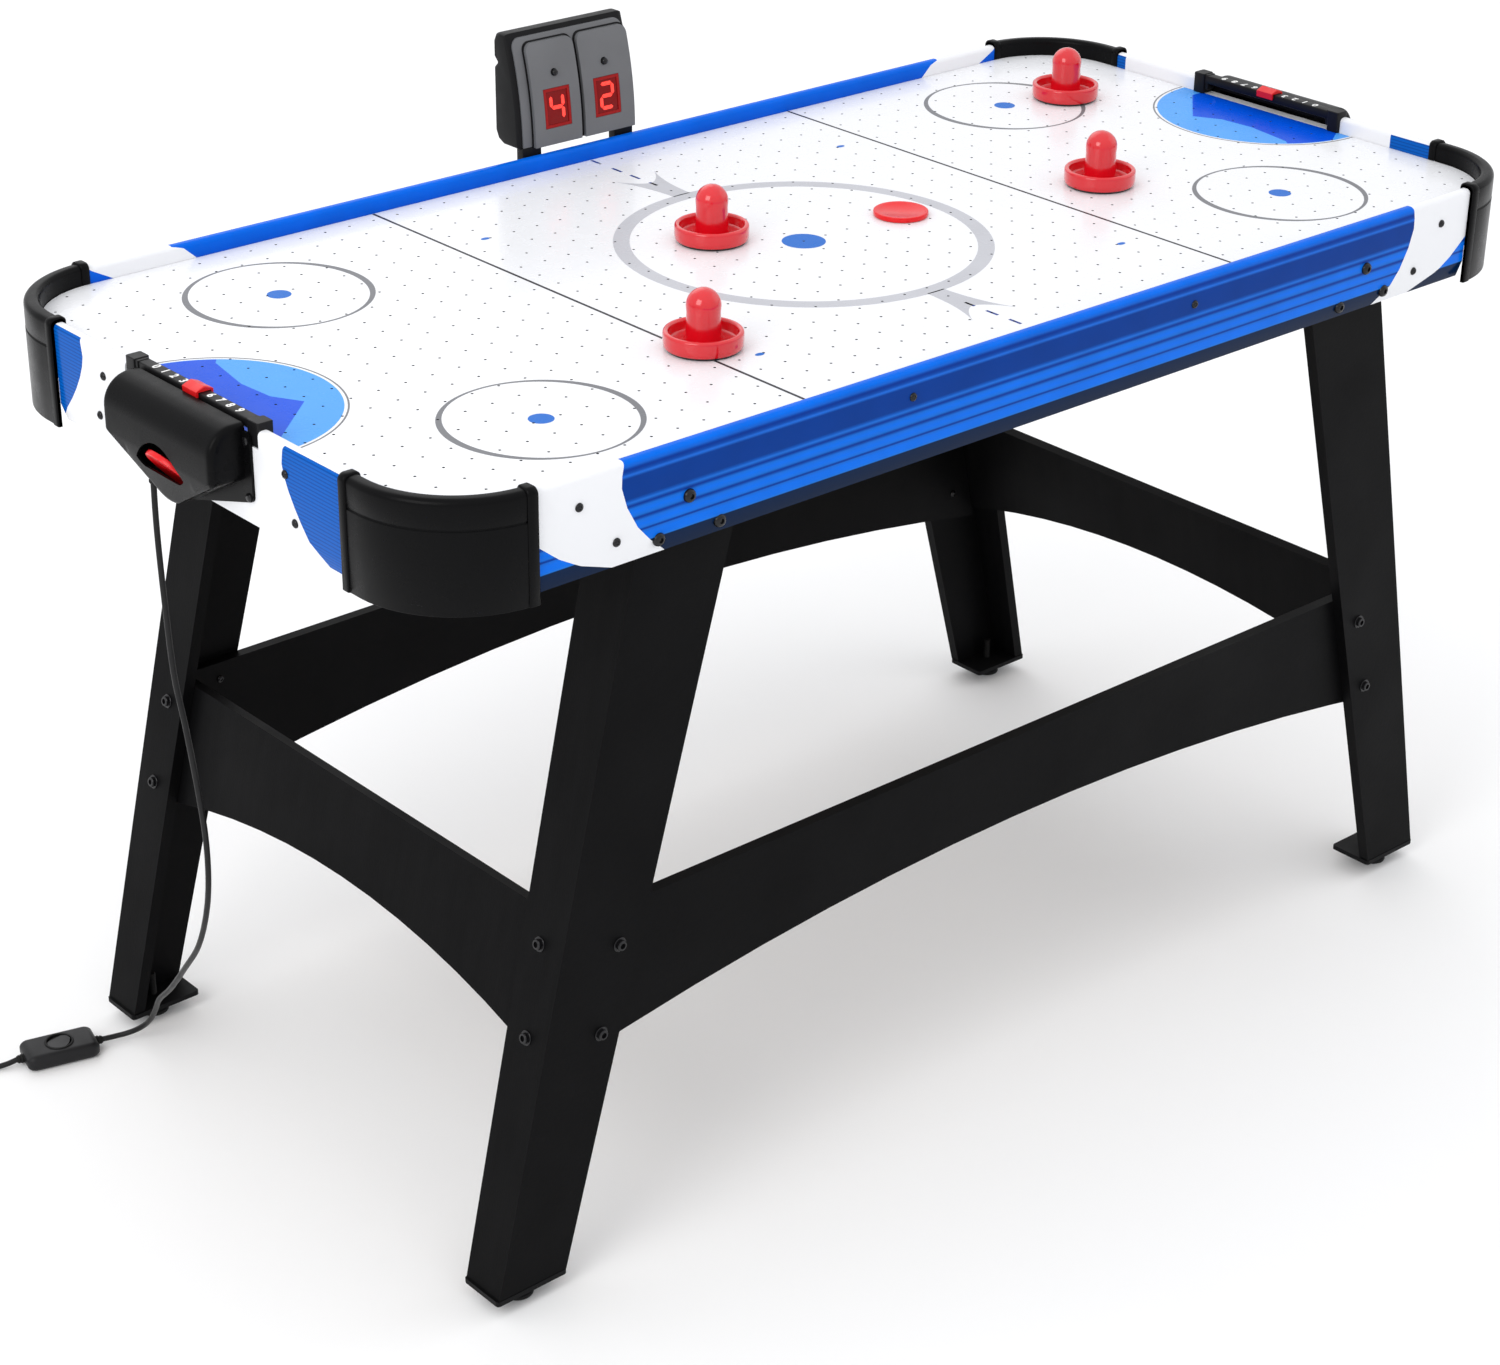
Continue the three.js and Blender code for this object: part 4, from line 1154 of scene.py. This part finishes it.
def guard_loops(stations, sx, sy):
    loops = []
    for along, proud in stations:
        (ox, oy), (dx, dy) = guard_places(along)
        loops.append([(sx * (ox + r * dx), sy * (oy + r * dy), z) for r, z in guard_section(proud)])
    return loops


def build_guards():
    quarter = CORNER_R * math.pi / 2
    body = [(-1, 0)] + [(quarter * i / 36, 0) for i in range(37)] + [(quarter + GUARD_TAIL, 0)]
    rims = [(0, 0.4), (0.5, 1.1), (1.3, COLLAR_PROUD)]
    rims += [(COLLAR_WIDE - 4.5, COLLAR_PROUD)] + [(COLLAR_WIDE - a, p) for a, p in reversed(rims)]
    collars = {
        "side": [(a - 1, p) for a, p in rims],
        "end": [(quarter + GUARD_TAIL - COLLAR_WIDE + a, p) for a, p in rims],
    }
    for corner, sx, sy in corners():
        guard = solid(f"guard_{corner}", guard_loops(body, sx, sy), M_GUARD, sharp=40)
        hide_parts(f"corner_guard_{corner}")
        for name, stations in collars.items():
            solid(f"guard_collar_{name}_{corner}", guard_loops(stations, sx, sy), M_GUARD, sharp=40)


build_guards()

# ---- puck-return boxes ----
BOX_ROUND = 26
BOX_FILLET = 5
BOX_WALL = 2.5
BOX_CHIN_R = 30
# The front is upright down to the knee, then leans in by this much per mm of drop.
BOX_KNEE = 750
BOX_LEAN = 12 / 54
# The hand opening: its pointed ends, its level lower lip and the height its upper curve is pulled to.
HAND_TIP = (37, 739)
HAND_LIP = (24, 732)
HAND_PULL = 784


def box_bottom(y):
    """Height of a box's lower edge: a rounded chin, then straight up to both ends."""
    y = abs(y)
    r = BOX_CHIN_R
    slope = (BOX_END_Z - BOX_CHIN) / (BOX_HALF - 6)
    lean = math.atan(slope)
    touch = r * math.sin(lean)
    if y < touch:
        return BOX_CHIN + r - math.sqrt(r * r - y * y)
    base = BOX_CHIN + r - r * math.cos(lean)
    return base + (y - touch) * (BOX_END_Z - base) / (BOX_HALF - touch)


def box_section(y, inset):
    """Open section of a box from its top at the rail, over the front and back under to the rail."""
    top = BOX_TOP - inset
    front = BOX_DEPTH - inset
    low = box_bottom(y) + inset

    def lean(z):
        return BOX_LEAN * max(0, BOX_KNEE - z)

    pts = [(0.4, top)] + arc(front - BOX_ROUND, top - BOX_ROUND, BOX_ROUND, 90, 0, 12)
    bends = [max(low + 4, z) for z in (BOX_KNEE + 1, BOX_KNEE - 2, 735)]
    pts += [(front - lean(z), z) for z in bends]
    x = front - lean(low)
    pts += [(x, low + 4), (x - 0.6, low + 1.6), (x - 2, low + 0.4), (x - 4.5, low), (0.4, low)]
    return pts


def box_opening():
    """Outline of the hand opening as (y, z), with an arched upper edge and a level lower one."""
    tip, high = HAND_TIP
    lip, low = HAND_LIP
    outline = bezier((-tip, high), (0, HAND_PULL), (tip, high), 20)
    outline += bezier((tip, high), (lip + 7, low), (lip, low), 6)
    return outline + bezier((-lip, low), (-lip - 7, low), (-tip, high), 6)


def build_return_box(side, s):
    end = eased_end(-BOX_HALF, BOX_FILLET, 6)
    middle = [(BOX_HALF - 8) * i / 20 for i in range(20, -21, -1)]
    stations = [(-y, inset) for y, inset in end] + [(y, 0) for y in middle] + end[::-1]
    loops = [[(s * (END_X + x), y, z) for x, z in box_section(y, inset)] for y, inset in stations]
    shell = finish_mesh(f"return_box_{side}_shell", *skin(loops, sheet=True), M_BOX, sharp=40)
    wall = shell.modifiers.new("wall", "SOLIDIFY")
    wall.thickness = BOX_WALL / 1000
    wall.offset = -1
    eye = [[(s * (END_X + depth), y, z) for y, z in box_opening()] for depth in (7, 60)]
    carve(shell, "opening", skin(eye))
    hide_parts(f"puck_return_box_{side}")
    build_flange(side, s)


def build_flange(side, s):
    """The plate against the end rail that a box is screwed on with."""
    h = FLANGE_HALF
    corner = 6
    outline = arc(h - corner, 786, corner, 0, 90, 5) + arc(corner - h, 786, corner, 90, 180, 5)
    outline += arc(corner - h, 735, corner, 180, 235, 4) + arc(0, 727, 24, 245, 295, 6)
    outline += arc(h - corner, 735, corner, 305, 360, 4)
    inside = [(y, box_bottom(y) + 3) for y in range(-78, 79, 6)] + [(78, 784), (-78, 784)]

    def against_rail(a, b, z):
        return (s * (END_X + z), a, b)

    perforated(f"return_box_{side}_flange", outline, [inside], 0.3, 2.8, M_BOX, against_rail)
    dome = [(0, 0), (4, 0), (3.9, 1), (2.8, 1.9), (1.6, 2.2), (0, 2.2)]
    spots = [(s * (END_X + 2.7), y, z) for y, z in ((-88.5, 733.5), (88.5, 733.5), (-88, 784), (88, 784))]
    turn = facing((s, 0, 0))
    merged(f"return_box_{side}_screws", [lathe(dome, spot, turn, 20) for spot in spots], M_BOLT)


for side, s in SIDES.items():
    build_return_box(side, s)

# ---- goal bars, score digits and sliders ----
DIGIT_PITCH = 14.3
DIGIT_TALL = 8.2
BAR_X0 = 680.5
BAR_X1 = 692
BAR_TOP = 801
BLOCK_X0 = 678.6
BLOCK_X1 = 694.2
BLOCK_TOP = 802.4


def digit_mesh(text, size, depth):
    """Points in mm and faces of an upright digit, its middle at the origin."""
    curve = bpy.data.curves.new("digit", "FONT")
    curve.body = text
    curve.size = size
    curve.extrude = depth / 2
    curve.offset = size * 0.025
    curve.align_x = "CENTER"
    curve.align_y = "CENTER"
    curve.resolution_u = 4
    holder = add("digit", curve)
    graph = bpy.context.evaluated_depsgraph_get()
    mesh = bpy.data.meshes.new_from_object(holder.evaluated_get(graph))
    verts = [tuple(v.co) for v in mesh.vertices]
    faces = [tuple(f.vertices) for f in mesh.polygons]
    bpy.data.objects.remove(holder)
    xs = [v[0] for v in verts]
    ys = [v[1] for v in verts]
    mid = ((min(xs) + max(xs)) / 2, (min(ys) + max(ys)) / 2)
    return [(x - mid[0], y - mid[1], z) for x, y, z in verts], faces


def build_goal_bar(side, s):
    """A scoring bar on two end blocks. Its digits read the right way up from outside the table."""

    def place(a, b, z):
        return (s * a, b, z)

    def across(a, b, z):
        return (s * a, z, b)

    h = GOAL_HALF
    beam = slab(round_rect(BAR_X0, 792, BAR_X1, BAR_TOP, 1.2, 3), -h - 1, h + 1, 0.4, across)
    parts = [beam]
    for sy in (-1, 1):
        y0, y1 = sorted((sy * h, sy * (h + GOAL_POST)))
        block = round_rect(BLOCK_X0, y0, BLOCK_X1, y1, 1.6, 4)
        parts.append(slab(block, FIELD_TOP + 0.3, BLOCK_TOP, 0.6, place))
        y0, y1 = sorted((sy * (h - 4), sy * (h + 3)))
        parts.append(slab(round_rect(BAR_X0 + 0.5, y0, BAR_X1 + 1, y1, 1, 3), 785, 801.6, 0.5, place))
    frame = merged(f"goal_bar_{side}", parts, M_BAR)
    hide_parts(f"goal_frame_{side}")
    digits = []
    for i in range(10):
        verts, faces = digit_mesh(str(i), DIGIT_TALL * 1.38, 0.3)
        y = -s * (4.5 - i) * DIGIT_PITCH
        x = s * (BAR_X0 + BAR_X1) / 2
        spun = [(x - s * b, y + s * a, BAR_TOP + 0.1 + z) for a, b, z in verts]
        digits.append((spun, faces))
    merged(f"goal_digits_{side}", digits, M_DIGIT)


def build_slider(side, s):
    """A folded red saddle with a ridge and two pointed lips."""
    z = BAR_TOP
    x0 = BAR_X0 - 2.4
    x1 = BAR_X1 + 2.4
    mid = (x0 + x1) / 2
    section = [
        (x0, z - 5.4), (BAR_X0 - 0.8, z - 5.4), (BAR_X0 - 0.6, z + 0.5), (BAR_X1 + 0.6, z + 0.5),
        (BAR_X1 + 0.8, z - 4), (x1, z - 4), (x1 + 0.4, z + 1.2), (x1 - 1.4, z + 2.4), (mid + 1.2, z + 4.6),
        (mid, z + 4.9), (mid - 1.2, z + 4.6), (x0 + 1.4, z + 2.4), (x0 - 0.4, z + 1.2),
    ]
    loops = []
    for y, pinch in ((-11, 0.35), (-10.4, 0), (-3.5, 0), (0, 0.22), (3.5, 0), (10.4, 0), (11, 0.35)):
        loops.append([(s * x, y, zz - pinch * 3 * max(0, zz - z) / 5) for x, zz in section])
    slider = solid(f"slider_{side}_saddle", loops, M_SLIDER, f"score_slider_{side}", sharp=25)
    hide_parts(f"score_slider_{side}")


for side, s in SIDES.items():
    build_goal_bar(side, s)
    build_slider(side, s)

# ---- scoreboard ----
PANELS = {"left": (-64, -3.5), "right": (1.5, 67)}
WINDOW_HALF = (17, 20.4)
LED_RIM_HALF = (16.6, 20)
GLASS_HALF = (13.6, 17)
PANEL_PROUD = 5.2
# A black sheet behind each panel whose rim shows round it: painted shadow along the panel edges.
SHADOW_SHEET_PROUD = 1.2


def led_frame(side, half):
    """Outline centred on a side's LED window."""
    led = LED_X[side]
    return bar(led - half[0], LED_Z - half[1], led + half[0], LED_Z + half[1])


def face_y(z):
    f = min(1, max(0, (z - SCORE_BOTTOM) / (SCORE_TOP - SCORE_BOTTOM)))
    return SCORE_FACE + SCORE_LEAN * f ** 2


def on_face(a, b, depth):
    """A point of the scoreboard's face, depth mm out of it."""
    return (a, face_y(b) - depth, b)


def face_folds(x0, x1, z0, z1):
    """Level lines that let a plate follow the face's curve."""
    count = max(1, round((z1 - z0) / 5))
    return [((x0, z0 + (z1 - z0) * i / count), (x1, z0 + (z1 - z0) * i / count)) for i in range(1, count)]


def face_plate(name, outline, voids, back, front, material):
    xs = [p[0] for p in outline]
    zs = [p[1] for p in outline]
    folds = face_folds(min(xs) - 1, max(xs) + 1, min(zs), max(zs))
    return perforated(name, outline, voids, back, front, material, on_face, folds)


def housing_section(inset):
    """Side outline of the housing as (y, z), with the seam groove in its back."""
    top = SCORE_TOP - inset
    low = SCORE_BOTTOM + inset
    back = SCORE_BACK - inset
    heights = [low + (top - low) * i / 12 for i in range(13)]
    pts = [(face_y(z) + 2 + inset, z) for z in heights]
    pts += [(back - 9, top), (back - 3, top - 2), (back, top - 8), (back, top - 22), (back - 5, top - 27)]
    pts += [(back - 5, top - 31), (back, top - 36), (back, low + 12), (back - 4, low + 4), (back - 12, low)]
    return pts


def build_housing():
    stations = [(x, inset * 0.55) for x, inset in eased_end(-SCORE_HALF, 7, 6)]
    stations += [(-x, inset) for x, inset in reversed(stations)]
    loops = [[(SCORE_X + x, y, z) for y, z in housing_section(inset)] for x, inset in stations]
    parts = [skin(loops)]
    for s in (-1, 1):
        x0, x1 = sorted((SCORE_X + s * (SCORE_HALF - 4), SCORE_X + s * (SCORE_HALF - 28)))
        post = round_rect(x0, SIDE_Y + 0.4, x1, SCORE_FACE + 11, 1.5, 3)
        parts.append(slab(post, 746, SCORE_BOTTOM + 2, 0.6))
    housing = merged("scoreboard_shell", parts, M_HOUSING, sharp=30)
    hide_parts("scoreboard_housing")


def panel_outline(x0, x1, grow=0.0):
    """A raised panel, its upper corners rounded; grow lifts its top."""
    return round_topped(x0, x1, SCORE_BOTTOM + 0.8, SCORE_TOP - 11 + grow, 9)


def build_face():
    edge = round_topped(SCORE_X - FACE_HALF, SCORE_X + FACE_HALF, SCORE_BOTTOM + 0.5, SCORE_TOP - 5, 10)
    plate = face_plate("scoreboard_fascia", edge, [], -3.2, 0, M_FACE)
    bevel(plate, 0.8, 3, 40)
    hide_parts("scoreboard_face")
    for side, (x0, x1) in PANELS.items():
        voids = [led_frame(side, WINDOW_HALF), ellipse(LED_X[side], BUTTON_Z, 3.9, 3.9, 28)]
        outline = panel_outline(x0, x1)
        panel = face_plate(f"scoreboard_panel_{side}", outline, voids, 0.5, PANEL_PROUD, M_FACE)
        bevel(panel, 1.3, 4, 40)
        # A black sheet a little larger than the panel, standing in for the shadow round its edges.
        shadow_outline = panel_outline(x0 - 1.4, x1 + 1.4, 1.4)
        face_plate(f"scoreboard_panel_shadow_{side}", shadow_outline, voids, -1, SHADOW_SHEET_PROUD, M_HOUSING)


# The bars of a digit, each from one end to the other in SEGMENT_HALF_X and SEGMENT_HALF_Z.
SEGMENTS = {
    "a": ((-1, 2), (1, 2)), "b": ((1, 2), (1, 0)), "c": ((1, 0), (1, -2)), "d": ((-1, -2), (1, -2)),
    "e": ((-1, 0), (-1, -2)), "f": ((-1, 2), (-1, 0)), "g": ((-1, 0), (1, 0)),
}
DIGIT_SEGMENTS = {"4": "bcfg", "2": "abdeg"}
SEGMENT_HALF_X = 7.6
SEGMENT_HALF_Z = 6.2
SEGMENT_WIDE = 3.9


def segment(start, end):
    """Outline of one bar of a seven-segment digit, pointed at both ends."""
    a = Vector((start[0] * SEGMENT_HALF_X, start[1] * SEGMENT_HALF_Z))
    b = Vector((end[0] * SEGMENT_HALF_X, end[1] * SEGMENT_HALF_Z))
    along = (b - a).normalized()
    side = Vector((-along.y, along.x)) * SEGMENT_WIDE / 2
    a += along * 0.5
    b -= along * 0.5
    in_a = a + along * SEGMENT_WIDE / 2
    in_b = b - along * SEGMENT_WIDE / 2
    return [tuple(p) for p in (a, in_a - side, in_b - side, b, in_b + side, in_a + side)]


def build_led(side, digit):
    led = LED_X[side]
    out = PANEL_PROUD
    inner = led_frame(side, GLASS_HALF)
    frame = face_plate(f"led_{side}_rim", led_frame(side, LED_RIM_HALF), [inner], -2, out - 0.1, M_LED_RIM)
    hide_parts(f"led_window_{side}")
    face_plate(f"led_{side}_glass", inner, [], -2, out - 1, M_LED_GLASS)
    for key in DIGIT_SEGMENTS[digit]:
        shape = [(led + a, LED_Z + b) for a, b in segment(*SEGMENTS[key])]
        face_plate(f"led_{side}_segment_{key}", shape, [], out - 1.1, out - 0.75, M_SEGMENT)
    y = face_y(BUTTON_Z)
    dome = [(0, -3), (3.4, -3), (3.4, 7), (3.1, 8.1), (2.2, 9), (0, 9.4)]
    button = turned(f"led_{side}_button", dome, (led, y, BUTTON_Z), M_BOLT, f"scoreboard_button_{side}",
                    24, facing((0, -1, 0)))
    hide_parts(f"scoreboard_button_{side}")


build_housing()
build_face()
build_led("left", "4")
build_led("right", "2")

# ---- strikers and pucks ----


def striker_profile():
    r = STRIKER_R
    pts = [(0, 1.6), (r - 2.4, 1.6), (r - 1, 2.2), (r - 0.4, 3.2), (r, 8), (r, 13.5)]
    pts += arc(r - 2.6, 14.8, 2.6, 0, 180, 8)
    pts += [(r - 5.4, 12), (r - 6.2, 8), (r - 8, 6.6), (24, 6.2), (19.5, 6.8), (17.2, 8.6), (16.3, 12)]
    top = STRIKER_TALL - KNOB_R
    pts += [(KNOB_R - 0.3, 24), (KNOB_R - 0.5, 34)]
    pts += [(a, top + b) for a, b in arc(0, 0, KNOB_R, 0, 84, 10)]
    return pts + [(0, STRIKER_TALL)]


def build_strikers():
    for name, (x, y) in STRIKERS.items():
        centre = (x, y, FIELD_TOP + 0.3)
        piece = turned(f"{name}_body", striker_profile(), centre, M_RED, name, 64, sharp=40)
        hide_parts(name)
        r = STRIKER_R - 2.6
        felt = [(0, 0), (r - 0.4, 0), (r, 0.4), (r, 1.6), (0, 1.6)]
        pad = turned(f"{name}_pad", felt, centre, M_FELT, name)
        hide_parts(f"{name}_felt")


def puck_profile():
    """Bevelled rim with a shallow dished face on both sides, from the middle of the underside."""
    r = PUCK_R
    t = PUCK_THICK
    lower = [(0, 0.5), (r - 6, 0.5), (r - 5, 0), (r - 0.9, 0), (r - 0.2, 0.5), (r, 1.3)]
    return lower + [(a, t - b) for a, b in reversed(lower)]


def build_pucks():
    puck = turned("puck_disc", puck_profile(), PUCK_AT, M_PUCK, "puck", 64, sharp=30)
    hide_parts("puck")
    lean = Matrix.Rotation(math.radians(SPARE_PUCK_LEAN), 3, "Y")
    middle = Vector(SPARE_PUCK_AT) - lean @ Vector((0, 0, PUCK_THICK / 2))
    spare = turned("spare_puck_disc", puck_profile(), middle, M_PUCK, "spare_puck", 64, lean, sharp=30)
    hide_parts("spare_puck")


build_strikers()
build_pucks()

# ---- screws and bolts ----
# Spots as (distance from the middle, height); each is repeated on both halves and both sides.
# A head starts SINK below the face it sits on.
SINK = 0.1
RAIL_BOLTS = [(468, 717.5), (436, 748), (401.5, 715.5)]
RAIL_SCREWS = [(551, 769.5), (513, 728), (182, 770)]
END_SCREWS = [(141, 771), (152, 731)]
LEG_BOLTS = [(503, 337), (525, 254)]
LEG_END_BOLTS = [(299, 347.5), (303.5, 262)]
INNER_SCREWS = [(-500.7, 348), (532, 263)]
DOME_LARGE = [(0, 0), (6.2, 0), (6.2, 0.8), (5.9, 2), (5, 3.3), (3.4, 4), (2.4, 4.1), (2.2, 2.6), (0, 2.6)]
DOME_SMALL = [(0, 0), (4, 0), (3.9, 0.9), (3.1, 1.9), (1.8, 2.4), (1.3, 1.6), (0, 1.6)]
SOCKET_BOLT = [
    (0, 0), (7, 0), (7, 1), (6.6, 1.4), (5, 1.5), (5, 4), (4.4, 4.7), (2.7, 4.8), (2.6, 2.4), (0, 2.4),
]


def rail_out(z):
    """How far a rail's outer face is from its inner face at a height."""
    if z > RAIL_BEVEL_Z:
        return RAIL_THICK
    return RAIL_THICK - RAIL_BEVEL_IN * (RAIL_BEVEL_Z - z) / (RAIL_BEVEL_Z - RAIL_BOTTOM)


def build_rail_hardware():
    bolts = []
    screws = []
    kinds = ((RAIL_BOLTS, DOME_LARGE, bolts), (RAIL_SCREWS, DOME_SMALL, screws))
    for sx, sy in QUARTERS:
        for spots, profile, parts in kinds:
            for x, z in spots:
                spot = (sx * x, sy * (FIELD_Y + rail_out(z) - SINK), z)
                parts.append(lathe(profile, spot, facing((0, sy, 0)), 24))
        for y, z in END_SCREWS:
            spot = (sx * (END_X - SINK), sy * y, z)
            screws.append(lathe(DOME_SMALL, spot, facing((sx, 0, 0)), 24))
    merged("rail_bolts", bolts, M_BOLT)
    merged("rail_screws", screws, M_BOLT)


def build_leg_hardware():
    parts = []
    inner_y = LEG_Y - 2 * BOARD - 0.3
    for sx, sy in QUARTERS:
        for x, z in LEG_BOLTS:
            parts.append(lathe(SOCKET_BOLT, (sx * x, sy * (LEG_Y - SINK), z), facing((0, sy, 0)), 24))
        for y, z in LEG_END_BOLTS:
            x = LEG_FOOT_X - LEG_LEAN * (z - LEG_BOTTOM) - SINK
            parts.append(lathe(SOCKET_BOLT, (sx * x, sy * y, z), facing((sx, 0, LEG_LEAN)), 24))
    for sy in (-1, 1):
        for x, z in INNER_SCREWS:
            parts.append(lathe(DOME_SMALL, (x, sy * inner_y, z), facing((0, -sy, 0)), 20))
    merged("leg_bolts", parts, M_BOLT)


build_rail_hardware()
build_leg_hardware()

# ---- levelling feet ----


def foot_profile():
    """A flat base under a hexagon-sized collar and a threaded stem."""
    pts = [(0, 0), (13.6, 0), (14.6, 0.6), (15, 1.8), (14.4, 3.6), (11.5, 5.6), (9.4, 6.4), (8.6, 7.4)]
    pts += [(7.2, 8.2), (7, 11.6), (6.2, 12), (4, 12)]
    z = 12.4
    while z < 43:
        pts += [(3.4, z), (4, z + 0.6)]
        z += 1.25
    return pts + [(3.4, 43.6), (0, 44)]


def build_feet():
    for corner, sx, sy in corners():
        centre = (sx * FOOT_X, sy * FOOT_Y, 0)
        foot = turned(f"foot_{corner}", foot_profile(), centre, M_RUBBER, f"levelling_foot_{corner}", 40)
        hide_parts(f"levelling_foot_{corner}")


build_feet()

# ---- CAD nodes that keep their shape ----
for corner, _, _ in corners():
    dress(f"leg_{corner}", M_BOARD, 0.7)
    dress(f"leg_cap_{corner}", M_CAP, 0.5)
for depth in DEPTHS:
    dress(f"long_stretcher_{depth}", M_BOARD, 0.6)
for side in SIDES:
    dress(f"end_stretcher_{side}", M_BOARD, 0.6)
    dress(f"cross_batten_{side}", M_RAW)
dress("bottom_panel", M_RAW)
dress("fan_housing", M_SWITCH, 0.5)
dress("fan_impeller", M_CORD, 0.3)
dress("fan_motor", M_STEEL, 0.3)

# ---- stage ----
# Lamps in metres, as (name, place, size, watts, colour).
LIGHTS = (
    ("key", (-3.3, -0.9, 2.7), 2.0, 44, (1, 0.99, 0.97)),
    ("fill", (3.2, -1.6, 2.6), 3.0, 10, (0.97, 0.985, 1)),
    ("back", (0.8, 3.2, 3.2), 3.0, 16, (1, 1, 1)),
)
LIGHTS_AIM = (0, 0, 0.6)
FLOOR_REACH = 30
WORLD_HORIZON = 0.88
WORLD_ZENITH = 1.16


def build_floor():
    s = Shader("floor")
    tone = s.spread(s.noise(0.8, 5), 0.94, 0.97)
    node = s.new("ShaderNodeCombineColor")
    for i in range(3):
        s.put(node.inputs[i], tone)
    s.set("Base Color", node.outputs[0])
    s.set("Roughness", 0.75)
    mesh = bpy.data.meshes.new("floor")
    square = bar(-FLOOR_REACH, -FLOOR_REACH, FLOOR_REACH, FLOOR_REACH)
    mesh.from_pydata([(x, y, 0) for x, y in square], [], [(0, 1, 2, 3)])
    mesh.materials.append(s.material)
    return add("floor", mesh)


def build_world():
    """A pale dome, brightest overhead."""
    world = bpy.data.worlds.new("studio")
    world.use_nodes = True
    tree = world.node_tree
    background = tree.nodes["Background"]
    background.inputs["Color"].default_value = (0.98, 0.985, 1, 1)
    split = tree.nodes.new("ShaderNodeSeparateXYZ")
    height = tree.nodes.new("ShaderNodeMapRange")
    height.inputs["To Min"].default_value = WORLD_HORIZON
    height.inputs["To Max"].default_value = WORLD_ZENITH
    tree.links.new(tree.nodes.new("ShaderNodeTexCoord").outputs["Generated"], split.inputs["Vector"])
    tree.links.new(split.outputs["Z"], height.inputs["Value"])
    tree.links.new(height.outputs["Result"], background.inputs["Strength"])
    return world


def build_stage():
    objs = [build_floor()]
    for name, place, size, watts, color in LIGHTS:
        data = bpy.data.lights.new(name, "AREA")
        data.shape = "SQUARE"
        data.size = size
        data.energy = watts
        data.color = color
        lamp = add(name, data)
        lamp.location = place
        aim = Vector(LIGHTS_AIM) - Vector(place)
        lamp.rotation_euler = aim.to_track_quat("-Z", "Y").to_euler()
        objs.append(lamp)
    bpy.context.scene.world = build_world()
    bpy.context.scene.view_settings.view_transform = "Standard"


build_stage()
